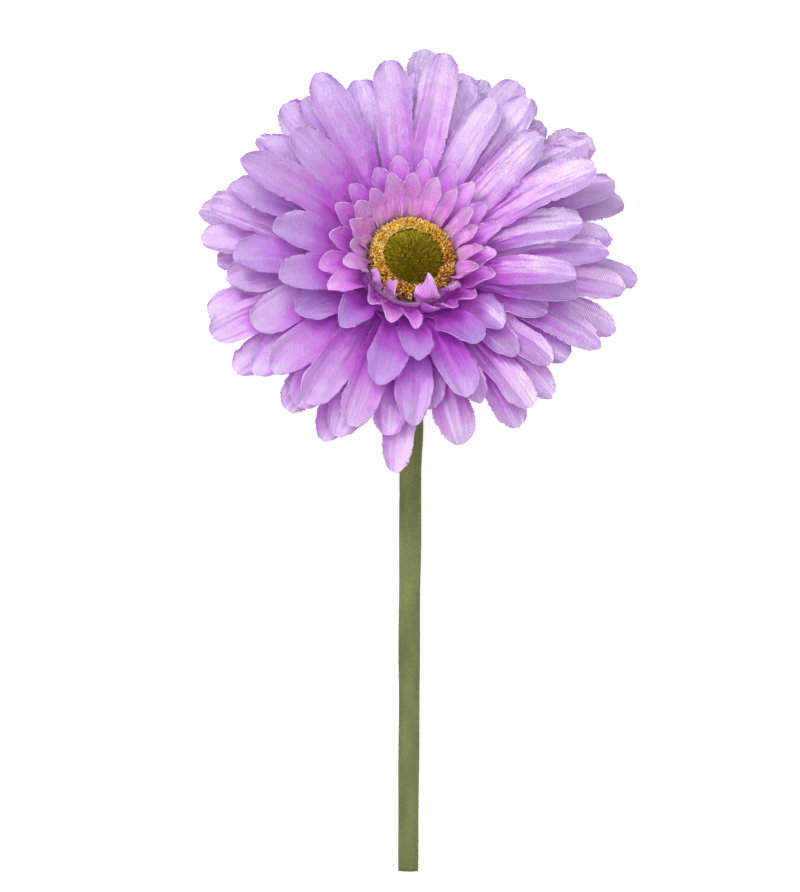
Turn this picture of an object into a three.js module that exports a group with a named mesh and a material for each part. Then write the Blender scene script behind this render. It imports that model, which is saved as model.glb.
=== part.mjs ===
// A silk gerbera, laid face up on a flat surface with its stem along -Y.
//
// Seven die-cut tiers of petals are threaded on the pin of the disc, between the disc and the calyx.
// The stem is a tapered sleeve on a steel wire. Its neck bends under the bloom, and it rests at its cut
// end, while the bloom rests on the tips of its lowest petals.
//
// Millimetres and degrees, +Z up. The origin is on the surface, in the middle of the footprint.
// Petals are laid out in the bloom's own frame: +Z out of its face, +Y towards its top. A bearing runs
// clockwise from +Y, as seen from the front.

import * as THREE from 'three';

const DEGREE = Math.PI / 180;

// The bloom's place and lean
const HUB = new THREE.Vector3(-3.53, 46.91, 21.5);
const TILT = 25;
const TURN = 25;

// The point that the petal tips are listed round, and the eye that sees them there
const FACE_HEIGHT = 9;
const EYE_FROM_FACE = new THREE.Vector3(-3, -47, 1500);

// The stack that the pin holds
const PITCH = 0.95;
const CLEARANCE = 0.3;
const CLOTH = 0.6;
const PIN_RADIUS = 2;
const PIN_END = -6.4;

// The disc and the pollen ring
const DISC_RADIUS = 7.3;
const DISC_BASE = 6.35;
const DISC_TOP = 13.1;
const DISC_PLAN = { sides: 28, rows: 7, relief: 0.3 };
const RING_INNER = DISC_RADIUS + 0.8;
const RING_OUTER = 10.7;
const RING_PLAN = { sides: 40, relief: 0.6 };

// The calyx
const CALYX_RADIUS = 9.6;
const CALYX_DEPTH = 11.5;
const SOCKET_DEPTH = 3.2;
const BRACTS = 12;
const BRACT_RELIEF = 0.7;

// The stem
const STEM_NECK_RADIUS = 3.05;
const STEM_CUT_RADIUS = 2.66;
const WIRE_RADIUS = 1;
const NECK_BEND = 11;
const NECK_STRAIGHT = 12.3;
const STEM_LEVEL = 4;
const STEM_SIDES = 12;
const STEM_STEPS = 20;

// How a petal is cut
const ROWS = [0, 0.2, 0.44, 0.68, 0.9, 1];
const COLUMNS = [-1, 0, 1];
const ROOT_SHARE = 0.5;
const WIDEST_AT = 0.55;
const TIP_ROUND = 0.45;
const NEIGHBOUR_SHARE = 0.92;
const MOST_TWIST = 9;
const SOLVE_ROUNDS = 60;

// Tiers from the back to the front. Each rises by elevation from its flat hub, over the length bend, and
// droops again by the tip: both are [at the top, at the bottom] of the bloom. The tip gives the share of a
// petal's length where it starts to narrow, and the share of its width that it ends with.
// A petal in seen is [bearing, reach] of its tip round the face, as the eye sees it, then its width and
// its lift where they are odd ones. A petal in placed is [bearing, length, curl] on the hub itself, and
// then its width: the curl bends its tip in over the disc, or outwards where it is below zero.
const TIERS = [
  {
    name: 'petals_back', colour: '#c9a9e2', level: 0, hub: 12, collar: 1.6, bend: 5,
    elevation: [6, -4], droop: [12, 12], sweep: 0.11, cup: 0.5, width: [8.8, 9.8], vary: 1.2,
    seed: 11, tip: [0.78, 0.5],
    seen: [
      [3.8, 53.1], [21.9, 48.6, 7], [37.3, 50.3, 6.6], [56.6, 54.6], [75, 55.2, 8.4], [95.3, 57, 8.4],
      [109.8, 54.4], [122, 46.8], [134.8, 49.7], [147.5, 50.3], [165.3, 48.6, 11.4], [184.6, 53.9],
      [206, 51.1], [219.5, 49.6], [237.5, 52.9], [254.7, 53.4], [269.5, 49.3], [282.7, 54.9], [295.3, 47.1],
      [308, 49.6, 6.6], [321, 46], [342, 43.5, 9.8, -20],
    ],
    placed: [],
  },
  {
    name: 'petals_mid_back', colour: '#cdaee5', level: 1, hub: 12, collar: 1.6, bend: 4.5,
    elevation: [11, 4], droop: [8, 13], sweep: 0.12, cup: 0.6, width: [8.8, 9.8], vary: 1.2,
    seed: 23, tip: [0.78, 0.5],
    seen: [
      [16, 48.6], [30, 49], [44, 47.5], [53.5, 52.6], [69, 52], [84.3, 50.8], [98.3, 54.1], [115, 52.4],
      [127, 43.8], [141.2, 47.8], [157, 38], [173, 38], [188, 45], [203, 48.7], [218, 47], [234, 49],
      [249, 54.1], [262, 46], [275.5, 53.4], [291, 50], [306, 46.8], [319.3, 49.8], [336, 41], [355, 48],
    ],
    placed: [],
  },
  {
    name: 'petals_middle', colour: '#d2b2e8', level: 2, hub: 12, collar: 1.8, bend: 4,
    elevation: [16, 13], droop: [6, 17], sweep: 0.12, cup: 0.7, width: [9, 10], vary: 1.2,
    seed: 37, tip: [0.78, 0.5],
    seen: [
      [10, 48], [31.1, 52.1], [44.5, 47.1], [56.5, 53.2], [69.5, 54.9], [88, 49.8], [111.5, 36.7],
      [132.7, 36], [155, 40], [180, 42], [200, 45], [216, 45.1], [231, 45.1], [247.2, 43.5],
      [263.8, 47.1, 10.6], [285.8, 52.9], [303, 47], [320.3, 50.8], [334, 44], [353, 47],
    ],
    placed: [],
  },
  {
    name: 'petals_mid_front', colour: '#d7b8eb', level: 3, hub: 12, collar: 1.9, bend: 3.8,
    elevation: [22, 27], droop: [6, 24], sweep: 0.12, cup: 0.8, width: [9.2, 10], vary: 1.2,
    seed: 31, tip: [0.78, 0.5],
    seen: [
      [1, 47], [18, 47], [36, 50], [56, 49], [78, 44], [102, 43], [127, 28.7, 10.5], [158, 37.3],
      [195, 32.7, 9.8], [245, 32], [271, 45], [292, 49], [309, 48], [326, 49], [343, 47.3],
    ],
    placed: [],
  },
  {
    name: 'petals_front', colour: '#dcbcee', level: 4, hub: 12, collar: 2, bend: 3.5,
    elevation: [31, 45], droop: [6, 32], sweep: 0.13, cup: 0.9, width: [9, 10], vary: 1.4,
    seed: 41, tip: [0.78, 0.5],
    seen: [
      [353, 50.8], [9, 52.6], [27, 45.5], [46, 45.3], [63, 51.9], [96.5, 41.5], [142.3, 26.7, 11],
      [177.3, 25.2], [227, 24.7], [262, 34], [283, 36.2], [300.4, 50.1], [317, 44.6], [332.6, 52.9, 10],
    ],
    placed: [],
  },
  {
    name: 'petals_short_outer', colour: '#dfa8ea', level: 5, hub: 11.8, collar: 2.2, bend: 2,
    elevation: [50, 64], droop: [4, 30], sweep: 0.05, cup: 0.5, width: [6.4, 7.4], vary: 3.5,
    seed: 53, tip: [0.5, 0.4],
    seen: [
      [339, 24.9], [352.3, 26.4], [8, 25.7], [24, 26.2], [39, 25], [54, 23.4], [69, 24.4],
      [86, 21.4], [287, 21.8], [305.5, 23.7], [320.8, 24.4],
    ],
    placed: [
      [110, 15, 20], [130, 12, 10], [150, 12, 34], [167, 12, 55, 5.4], [185, 14.5, -10, 5.6],
      [204, 15, -6, 6.4], [223, 14, 10], [246, 20, -32, 6.4], [260, 19.5, -30, 7],
    ],
  },
  {
    name: 'petals_short_inner', colour: '#e2aeea', level: 6, hub: 11.3, collar: 2.4, bend: 1.4,
    elevation: [68, 72], droop: [3, 3], sweep: 0.03, cup: 0.3, width: [5.8, 6.8], vary: 1.5,
    seed: 67, tip: [0.5, 0.4],
    seen: [
      [331, 20.4], [346.6, 22.4], [0.6, 21.8, 7], [17, 21.6], [32.4, 21.1], [50, 20],
      [286, 16.1], [302, 18.4], [317, 20],
    ],
    placed: [
      [70, 13, 0], [90, 13, 2, 4.4], [112, 13.5, 8], [138, 12.5, 40], [168, 17, 108, 7.4],
      [214, 13, 75, 6.8], [234, 13.5, 35, 6], [255, 17, -34, 6],
    ],
  },
];

// Colours of the other pieces
const COLOURS = {
  stem: '#7d8c55', wire: '#9a9c9e', calyx: '#5f7d3c', ring: '#c8962d', disc: '#6e7814',
};

const smooth = (value) => {
  const share = THREE.MathUtils.clamp(value, 0, 1);
  return share * share * (3 - 2 * share);
};

// A repeatable draw from 0 to 1
function seeded(seed) {
  let state = seed;
  return () => {
    state = (state * 1664525 + 1013904223) % 4294967296;
    return state / 4294967296;
  };
}

function bloomFrame() {
  const out = new THREE.Vector3(
    Math.sin(TILT * DEGREE) * Math.sin(TURN * DEGREE),
    Math.sin(TILT * DEGREE) * Math.cos(TURN * DEGREE),
    Math.cos(TILT * DEGREE),
  );
  const up = new THREE.Vector3(0, 1, 0).addScaledVector(out, -out.y).normalize();
  const right = new THREE.Vector3().crossVectors(up, out);
  return new THREE.Matrix4().makeBasis(right, up, out).setPosition(HUB);
}

const BLOOM = bloomFrame();
const BLOOM_INVERSE = BLOOM.clone().invert();
const FACE = new THREE.Vector3(0, 0, FACE_HEIGHT).applyMatrix4(BLOOM);
const EYE = FACE.clone().add(EYE_FROM_FACE);

// Where the eye sees a point of the bloom, from the face's centre and in its plane
function seenFromEye(point) {
  const away = point.clone().applyMatrix4(BLOOM).sub(EYE);
  const scale = (FACE.z - EYE.z) / away.z;
  return new THREE.Vector2(EYE.x + away.x * scale - FACE.x, EYE.y + away.y * scale - FACE.y);
}

// Lifts a point of the bloom that would be lower than this height above the surface
function onSurface(point, height) {
  const world = point.clone().applyMatrix4(BLOOM);
  world.z = Math.max(world.z, height);
  return world.applyMatrix4(BLOOM_INVERSE);
}

// Blends a tier's value at the top of the bloom into its value at the bottom
function between(bearing, [top, bottom]) {
  return top + (bottom - top) * (0.5 - 0.5 * Math.cos((bearing - TURN) * DEGREE));
}

function elevationAt(petal, distance) {
  const share = distance / petal.length;
  const risen = between(petal.bearing, petal.elevation) * smooth(distance / petal.bend);
  const fallen = between(petal.bearing, petal.droop) - petal.curl;
  return (risen + petal.lift * smooth(share) - fallen * share ** 2) * DEGREE;
}

// Radius and height of a petal's centreline at a distance from the hub's edge
function profileAt(petal, distance) {
  const steps = 16;
  const step = distance / steps;
  let radius = petal.hub;
  let height = petal.height;
  for (let i = 0; i < steps; i += 1) {
    const angle = elevationAt(petal, (i + 0.5) * step);
    radius += Math.cos(angle) * step;
    height += Math.sin(angle) * step;
  }
  return { radius, height, angle: elevationAt(petal, distance) };
}

// Half of the cut's width at a share of the way from the collar to the tip
function halfWidth(petal, along, radius) {
  const swell = ROOT_SHARE + (1 - ROOT_SHARE) * smooth(along / WIDEST_AT);
  const [tipFrom, tipShare] = petal.tip;
  const tip = THREE.MathUtils.clamp((along - tipFrom) / (1 - tipFrom), 0, 1);
  const rounded = Math.sqrt(1 - (1 - tipShare ** 2) * tip ** 2);
  const free = radius * Math.tan((petal.gap / 2) * DEGREE) * NEIGHBOUR_SHARE;
  return Math.min((petal.width / 2) * swell * rounded, free);
}

// A point of a petal: across runs from -1 to 1, along from the collar to the tip
function petalPoint(petal, across, along) {
  const setBack = (petal.width / 2) * TIP_ROUND * across ** 2 * along ** 3;
  const distance = petal.collar + along * (petal.length - petal.collar) - setBack;
  const { radius, height, angle } = profileAt(petal, distance);
  const bearing = petal.bearing * DEGREE;
  const share = distance / petal.length;
  const sweep = petal.sweep * Math.sin(bearing);
  const heading = Math.atan(2 * sweep * share);
  const twist = petal.twist * smooth(along) * DEGREE;

  const outward = new THREE.Vector3(Math.sin(bearing), Math.cos(bearing), 0);
  const aside = new THREE.Vector3(Math.cos(bearing), -Math.sin(bearing), 0);
  const forward = outward.clone().multiplyScalar(Math.cos(angle)).setZ(Math.sin(angle));
  const facing = outward.clone().multiplyScalar(-Math.sin(angle)).setZ(Math.cos(angle));
  const widthways = aside.clone().multiplyScalar(Math.cos(heading))
    .addScaledVector(forward, -Math.sin(heading));

  const offset = across * halfWidth(petal, along, radius);
  return outward.multiplyScalar(radius).setZ(height)
    .addScaledVector(aside, sweep * petal.length * share ** 2)
    .addScaledVector(widthways, offset * Math.cos(twist))
    .addScaledVector(facing, offset * Math.sin(twist) + petal.cup * across ** 2 * smooth(along));
}

// Turns and lengthens a petal until the eye sees its tip at the listed bearing and reach
function solve(petal, bearing, reach) {
  for (let round = 0; round < SOLVE_ROUNDS; round += 1) {
    const tip = seenFromEye(petalPoint(petal, 0, 1));
    const turn = Math.atan2(tip.x, tip.y) / DEGREE;
    petal.bearing += THREE.MathUtils.euclideanModulo(bearing - turn + 180, 360) - 180;
    petal.length += reach - tip.length();
  }
}

function layOut(tier) {
  const draw = seeded(tier.seed);
  const spread = (size) => (2 * draw() - 1) * size;
  const blank = () => ({
    ...tier,
    height: tier.level * PITCH,
    width: tier.width[0] + (tier.width[1] - tier.width[0]) * draw(),
    lift: spread(tier.vary),
    twist: spread(MOST_TWIST),
    curl: 0,
    gap: 360,
  });
  const petals = tier.seen.map(([bearing, reach, width, lift]) => {
    const petal = { ...blank(), bearing, length: reach - tier.hub };
    petal.width = width ?? petal.width;
    petal.lift = lift ?? petal.lift;
    solve(petal, bearing, reach);
    return petal;
  });
  for (const [bearing, length, curl, width] of tier.placed) {
    const petal = { ...blank(), bearing, length, curl };
    petal.width = width ?? petal.width;
    petals.push(petal);
  }
  const circle = (angle) => THREE.MathUtils.euclideanModulo(angle, 360);
  petals.sort((one, other) => circle(one.bearing) - circle(other.bearing));
  petals.forEach((petal, i) => {
    petal.toNext = circle(petals[(i + 1) % petals.length].bearing - petal.bearing);
  });
  petals.forEach((petal, i) => {
    petal.gap = Math.min(petal.toNext, petals.at(i - 1).toNext);
  });
  return petals;
}

// Thickens an open sheet of triangles into a closed plate
function plate(points, triangles, thickness, settle) {
  const normals = points.map(() => new THREE.Vector3());
  const edges = new Set();
  for (const [a, b, c] of triangles) {
    const ab = points[b].clone().sub(points[a]);
    const normal = points[c].clone().sub(points[a]);
    normal.crossVectors(ab, normal);
    for (const corner of [a, b, c]) normals[corner].add(normal);
    edges.add(`${a} ${b}`).add(`${b} ${c}`).add(`${c} ${a}`);
  }
  const side = (sign) => points.map((point, i) => (
    settle(point.clone().addScaledVector(normals[i].clone().normalize(), (sign * thickness) / 2))
  ));
  const lower = points.length;
  const faces = [];
  for (const [a, b, c] of triangles) {
    faces.push([a, b, c], [c + lower, b + lower, a + lower]);
  }
  for (const edge of edges) {
    const [a, b] = edge.split(' ').map(Number);
    if (!edges.has(`${b} ${a}`)) {
      faces.push([b, a, a + lower], [b, a + lower, b + lower]);
    }
  }
  return solid([...side(1), ...side(-1)], faces);
}

function solid(points, faces) {
  const geometry = new THREE.BufferGeometry();
  geometry.setAttribute('position', new THREE.Float32BufferAttribute(points.flatMap((p) => p.toArray()), 3));
  geometry.setIndex(faces.flat());
  geometry.computeVertexNormals();
  return geometry;
}

// One die-cut tier: a flat hub with the pin's hole, a collar where the petals are still joined, then the
// petals
function tierGeometry(tier) {
  const petals = layOut(tier);
  const points = [];
  const triangles = [];
  const add = (point) => points.push(onSurface(point, CLOTH / 2)) - 1;
  const quad = (a, b, c, d) => triangles.push([a, b, c], [a, c, d]);
  const onHub = (bearing, radius) => add(new THREE.Vector3(
    radius * Math.sin(bearing * DEGREE),
    radius * Math.cos(bearing * DEGREE),
    tier.level * PITCH,
  ));

  const seams = petals.map((petal) => {
    const bearing = petal.bearing + petal.toNext / 2;
    const joined = { ...petal, bearing, lift: 0, curl: 0, twist: 0 };
    return [
      onHub(bearing, PIN_RADIUS + CLEARANCE),
      onHub(bearing, tier.hub),
      add(petalPoint(joined, 0, 0)),
    ];
  });

  petals.forEach((petal, i) => {
    const left = seams.at(i - 1);
    const right = seams[i];
    const middle = [
      onHub(petal.bearing, PIN_RADIUS + CLEARANCE),
      onHub(petal.bearing, tier.hub),
      add(petalPoint(petal, 0, 0)),
    ];
    for (const [from, to] of [[left, middle], [middle, right]]) {
      quad(from[1], from[0], to[0], to[1]);
      quad(from[2], from[1], to[1], to[2]);
    }
    let row = [left[2], middle[2], right[2]];
    for (const along of ROWS.slice(1)) {
      const next = COLUMNS.map((across) => add(petalPoint(petal, across, along)));
      for (let column = 1; column < COLUMNS.length; column += 1) {
        quad(next[column - 1], row[column - 1], row[column], next[column]);
      }
      row = next;
    }
  });
  return plate(points, triangles, CLOTH, (point) => onSurface(point, 0));
}

// Turns a closed profile round the bloom's axis. The profile starts and ends on the axis, or closes on
// itself, and shape moves each point of it by its place in the profile and its angle.
function turned(profile, sides, shape) {
  const closed = profile[0][0] > 0;
  const points = [];
  const faces = [];
  const ids = profile.map(([radius, height], i) => {
    const count = radius > 0 ? sides : 1;
    return Array.from({ length: sides }, (_, k) => {
      if (k >= count) return points.length - 1;
      const angle = (2 * Math.PI * k) / sides;
      const [r, z] = shape(radius, height, i, k);
      points.push(new THREE.Vector3(r * Math.cos(angle), r * Math.sin(angle), z));
      return points.length - 1;
    });
  });
  const pairs = closed ? ids.length : ids.length - 1;
  for (let i = 0; i < pairs; i += 1) {
    const lower = ids[i];
    const upper = ids[(i + 1) % ids.length];
    for (let k = 0; k < sides; k += 1) {
      const next = (k + 1) % sides;
      if (lower[k] !== lower[next]) faces.push([lower[k], lower[next], upper[next]]);
      if (upper[k] !== upper[next]) faces.push([lower[k], upper[next], upper[k]]);
    }
  }
  return solid(points, faces);
}

// The flocked dome, covered in florets, and the pin under it that holds the stack
function discGeometry() {
  const { sides, rows, relief } = DISC_PLAN;
  const profile = [[0, PIN_END], [PIN_RADIUS, PIN_END], [PIN_RADIUS, DISC_BASE], [DISC_RADIUS, DISC_BASE]];
  const firstRow = profile.length;
  for (let row = 1; row < rows; row += 1) {
    const angle = (row / rows) * 90 * DEGREE;
    profile.push([
      DISC_RADIUS * Math.cos(angle) ** 0.8,
      DISC_BASE + 1.2 + (DISC_TOP - DISC_BASE - 1.2) * Math.sin(angle),
    ]);
  }
  profile.push([0, DISC_TOP]);
  return turned(profile, sides, (radius, height, i, k) => {
    const row = i - firstRow;
    const raised = row >= 0 && radius > 0 && (k + row) % 2 === 0;
    const bump = raised ? relief : 0;
    return [radius + bump, height + bump];
  });
}

// The ring of clipped fibres, ragged all round
function ringGeometry() {
  const { sides, relief } = RING_PLAN;
  const base = DISC_BASE;
  const profile = [
    [RING_INNER, base], [RING_OUTER - 0.4, base], [RING_OUTER - 0.1, base + 1.6],
    [RING_OUTER - 0.3, base + 3.4], [RING_OUTER - 1.2, base + 4.5], [RING_INNER + 1, base + 4.6],
    [RING_INNER + 0.1, base + 3.6],
  ];
  const draw = seeded(5);
  const ragged = profile.map(() => Array.from({ length: sides }, () => draw() * relief));
  return turned(profile, sides, (radius, height, i, k) => (
    i < 2 ? [radius, height] : [radius - 0.3 * ragged[i][k], height - ragged[i][k]]
  ));
}

// A cup with a blind bore for the pin above and a socket for the stem below, and pointed bracts round it
function calyxGeometry() {
  const bore = PIN_RADIUS + CLEARANCE;
  const socket = STEM_NECK_RADIUS + CLEARANCE;
  const top = -CLOTH / 2 - CLEARANCE;
  const profile = [
    [0, -CALYX_DEPTH + SOCKET_DEPTH], [socket, -CALYX_DEPTH + SOCKET_DEPTH], [socket, -CALYX_DEPTH],
    [socket + 0.9, -CALYX_DEPTH], [5.6, -CALYX_DEPTH + 2.2], [7.6, -CALYX_DEPTH + 4.8],
    [9, -CALYX_DEPTH + 7.4], [CALYX_RADIUS, top - 1.4], [CALYX_RADIUS - 0.3, top],
    [bore, top], [bore, PIN_END - CLEARANCE], [0, PIN_END - CLEARANCE],
  ];
  const sides = BRACTS * 3;
  return turned(profile, sides, (radius, height, i, k) => {
    const onBract = k % 3 === 1;
    const ridged = i >= 4 && i <= 8 && onBract;
    const notched = i >= 7 && i <= 8 && !onBract;
    return [
      radius + (ridged ? BRACT_RELIEF : 0) - (notched ? BRACT_RELIEF : 0),
      height - (i === 8 && !onBract ? 0.5 : 0),
    ];
  });
}

// The stem's path: straight out of the calyx, round the neck, then along the surface to the cut
function stemPath() {
  const start = -CALYX_DEPTH + SOCKET_DEPTH - CLEARANCE;
  const at = (height) => new THREE.Vector3(0, 0, height).applyMatrix4(BLOOM);
  const neck = at(-NECK_STRAIGHT);
  const points = [at(start), at((start - NECK_STRAIGHT) / 2), neck];
  const steep = (90 - TILT) * DEGREE;
  const bows = [-0.5, -0.7, -0.4];
  bows.forEach((bow, i) => {
    const slope = steep * (1 - (i + 1) / bows.length);
    points.push(new THREE.Vector3(
      neck.x + bow,
      neck.y - NECK_BEND * (Math.sin(steep) - Math.sin(slope)),
      neck.z - NECK_BEND * (Math.cos(slope) - Math.cos(steep)),
    ));
  });
  points.push(
    new THREE.Vector3(HUB.x + 1.5, HUB.y - 35, STEM_LEVEL - 0.15),
    new THREE.Vector3(HUB.x + 1.3, HUB.y - 50, 3.8),
    new THREE.Vector3(HUB.x + 1, HUB.y - 96, 3.2),
    new THREE.Vector3(HUB.x + 0.7, HUB.y - 152.4, STEM_CUT_RADIUS),
  );
  return new THREE.CatmullRomCurve3(points, false, 'centripetal');
}

// A round bar along a path, tapered from its first radius to its last, with a bore where one is given
function bar(path, radii, bore) {
  const points = [];
  const faces = [];
  const rings = [];
  for (let step = 0; step <= STEM_STEPS; step += 1) {
    const share = (step / STEM_STEPS) ** 1.7;
    const centre = path.getPointAt(share);
    const tangent = path.getTangentAt(share);
    const aside = new THREE.Vector3(1, 0, 0).addScaledVector(tangent, -tangent.x).normalize();
    const above = new THREE.Vector3().crossVectors(aside, tangent);
    const radius = THREE.MathUtils.lerp(radii[0], radii[1], share);
    const ring = (size) => Array.from({ length: STEM_SIDES }, (_, k) => {
      const angle = (2 * Math.PI * k) / STEM_SIDES;
      return points.push(centre.clone()
        .addScaledVector(aside, size * Math.sin(angle))
        .addScaledVector(above, size * Math.cos(angle))) - 1;
    });
    rings.push({ outer: ring(radius), inner: bore ? ring(bore) : null });
  }
  const join = (one, other) => one.forEach((id, k) => {
    const next = (k + 1) % STEM_SIDES;
    faces.push([id, one[next], other[next]], [id, other[next], other[k]]);
  });
  for (let i = 1; i < rings.length; i += 1) {
    join(rings[i - 1].outer, rings[i].outer);
    if (bore) join(rings[i].inner, rings[i - 1].inner);
  }
  const first = rings[0];
  const last = rings.at(-1);
  if (bore) {
    join(first.inner, first.outer);
    join(last.outer, last.inner);
  } else {
    for (let k = 2; k < STEM_SIDES; k += 1) {
      faces.push([first.outer[0], first.outer[k], first.outer[k - 1]]);
      faces.push([last.outer[0], last.outer[k - 1], last.outer[k]]);
    }
  }
  return solid(points, faces);
}

function piece(name, geometry, color, roughness, metalness = 0) {
  const mesh = new THREE.Mesh(geometry, new THREE.MeshStandardMaterial({ color, roughness, metalness }));
  mesh.name = name;
  return mesh;
}

const bloom = new THREE.Group();
bloom.name = 'bloom';
bloom.applyMatrix4(BLOOM);
bloom.add(piece('calyx', calyxGeometry(), COLOURS.calyx, 0.55));
for (const tier of TIERS) {
  bloom.add(piece(tier.name, tierGeometry(tier), tier.colour, 0.7));
}
bloom.add(piece('pollen_ring', ringGeometry(), COLOURS.ring, 0.95));
bloom.add(piece('disc', discGeometry(), COLOURS.disc, 0.95));

const path = stemPath();
const flower = new THREE.Group();
flower.name = 'cut_gerbera';
flower.add(bloom);
const sleeve = bar(path, [STEM_NECK_RADIUS, STEM_CUT_RADIUS], WIRE_RADIUS + CLEARANCE);
flower.add(piece('stem', sleeve, COLOURS.stem, 0.9));
flower.add(piece('stem_wire', bar(path, [WIRE_RADIUS, WIRE_RADIUS]), COLOURS.wire, 0.35, 1));

export default flower;
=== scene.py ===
"""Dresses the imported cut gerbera: silk petals, flocked disc, pollen ring, calyx, stem and wire.

The sizes in the classes are millimetres and degrees. Petals are laid out in the bloom's own frame: +Z out
of its face, +Y towards its top, and a bearing runs clockwise from +Y, as seen from the front. The meshes
are in metres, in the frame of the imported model.
"""

import sys

import logging
import math
from dataclasses import dataclass, field, replace
from enum import Enum
from typing import Any, Callable, Sequence

import bmesh
import bpy
import numpy as np
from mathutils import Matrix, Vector

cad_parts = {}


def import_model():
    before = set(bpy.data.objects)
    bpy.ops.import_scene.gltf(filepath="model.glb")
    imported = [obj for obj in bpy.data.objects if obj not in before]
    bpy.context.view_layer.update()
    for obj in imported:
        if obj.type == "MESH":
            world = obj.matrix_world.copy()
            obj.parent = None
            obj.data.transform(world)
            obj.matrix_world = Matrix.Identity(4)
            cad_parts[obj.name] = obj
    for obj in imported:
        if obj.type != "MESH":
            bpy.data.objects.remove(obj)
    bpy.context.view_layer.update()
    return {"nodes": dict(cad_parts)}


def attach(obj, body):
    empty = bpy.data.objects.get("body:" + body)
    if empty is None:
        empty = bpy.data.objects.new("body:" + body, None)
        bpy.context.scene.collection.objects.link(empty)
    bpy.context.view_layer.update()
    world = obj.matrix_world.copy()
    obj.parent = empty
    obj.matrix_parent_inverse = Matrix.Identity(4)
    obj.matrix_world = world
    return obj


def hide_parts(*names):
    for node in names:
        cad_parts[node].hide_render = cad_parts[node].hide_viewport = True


LOG = logging.getLogger("gerbera")
MM = 0.001
WELD = 2e-7

# The stack on the pin, shared by the disc, the petals and the calyx
PITCH = 0.95
CLOTH = 0.6
CLEARANCE = 0.3
PIN_RADIUS = 2.0
PIN_END = -6.4
DISC_BASE = 6.35

Colour = tuple[float, float, float, float]
Stops = tuple[tuple[float, Colour], ...]
Socket = bpy.types.NodeSocket


def smooth(value: Any) -> Any:
    """A share from 0 to 1, eased at both ends."""
    share = np.clip(value, 0, 1)
    return share * share * (3 - 2 * share)


def mix(first: Any, second: Any, share: Any) -> Any:
    """The value at a share of the way from the first to the second."""
    return first + (second - first) * share


def normalised(vectors: np.ndarray) -> np.ndarray:
    """The vectors of a list, one a row, at length 1."""
    return vectors / np.linalg.norm(vectors, axis=1)[:, None]


def colour(red: int, green: int, blue: int) -> Colour:
    """Turns a screen colour into the linear one that a material takes.

    Args:
        red: the red, from 0 to 255.
        green: the green.
        blue: the blue.

    Returns:
        The opaque colour.
    """
    linear = [
        (value / 255 / 12.92) if value <= 10 else ((value / 255 + 0.055) / 1.055) ** 2.4
        for value in (red, green, blue)
    ]
    return (linear[0], linear[1], linear[2], 1.0)


class Draw:
    """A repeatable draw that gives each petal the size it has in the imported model."""

    FACTOR = 1664525
    STEP = 1013904223
    RANGE = 2**32

    def __init__(self, seed: int) -> None:
        """Starts the draw at a seed."""
        self.state = seed

    def share(self) -> float:
        """The next draw, from 0 to 1."""
        self.state = (self.state * self.FACTOR + self.STEP) % self.RANGE
        return self.state / self.RANGE

    def spread(self, size: float) -> float:
        """The next draw, from -size to size."""
        return (2 * self.share() - 1) * size


@dataclass(frozen=True)
class BloomFrame:
    """The bloom's place and lean, and the eye that the petal tips are listed for."""

    hub: tuple[float, float, float] = (-3.53, 46.91, 21.5)
    tilt: float = 25.0
    turn: float = 25.0
    face_height: float = 9.0
    eye_from_face: tuple[float, float, float] = (-3.0, -47.0, 1500.0)

    def axes(self) -> np.ndarray:
        """Works out how the bloom stands.

        Returns:
            Its right, up and out axes, as rows.
        """
        tilt, turn = math.radians(self.tilt), math.radians(self.turn)
        out = np.array([
            math.sin(tilt) * math.sin(turn), math.sin(tilt) * math.cos(turn), math.cos(tilt),
        ])
        up = np.array([0.0, 1.0, 0.0]) - out * out[1]
        up /= np.linalg.norm(up)
        return np.array([np.cross(up, out), up, out])

    def to_row(self, points: np.ndarray) -> np.ndarray:
        """Points of the bloom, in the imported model's frame."""
        return np.asarray(points, float) @ self.axes() + np.array(self.hub)

    def face(self) -> np.ndarray:
        """The centre that the tips are listed round."""
        return self.to_row(np.array([0.0, 0.0, self.face_height]))

    def eye(self) -> np.ndarray:
        """Where the camera stands."""
        return self.face() + np.array(self.eye_from_face)

    def seen(self, point: np.ndarray) -> np.ndarray:
        """Finds where the eye sees a point of the bloom, in the plane of the face's centre.

        Args:
            point: one point of the bloom, in millimetres.

        Returns:
            Its distance to the right and up from the face's centre.
        """
        face, eye = self.face(), self.eye()
        away = self.to_row(point) - eye
        scale = (face[2] - eye[2]) / away[2]
        return (eye + away * scale - face)[:2]

    def lowness(self, bearing: Any) -> Any:
        """How near a bearing in degrees is to the bloom's low side, from 0 at its top to 1."""
        return 0.5 - 0.5 * np.cos(np.radians(bearing - self.turn))


BLOOM = BloomFrame()


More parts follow.
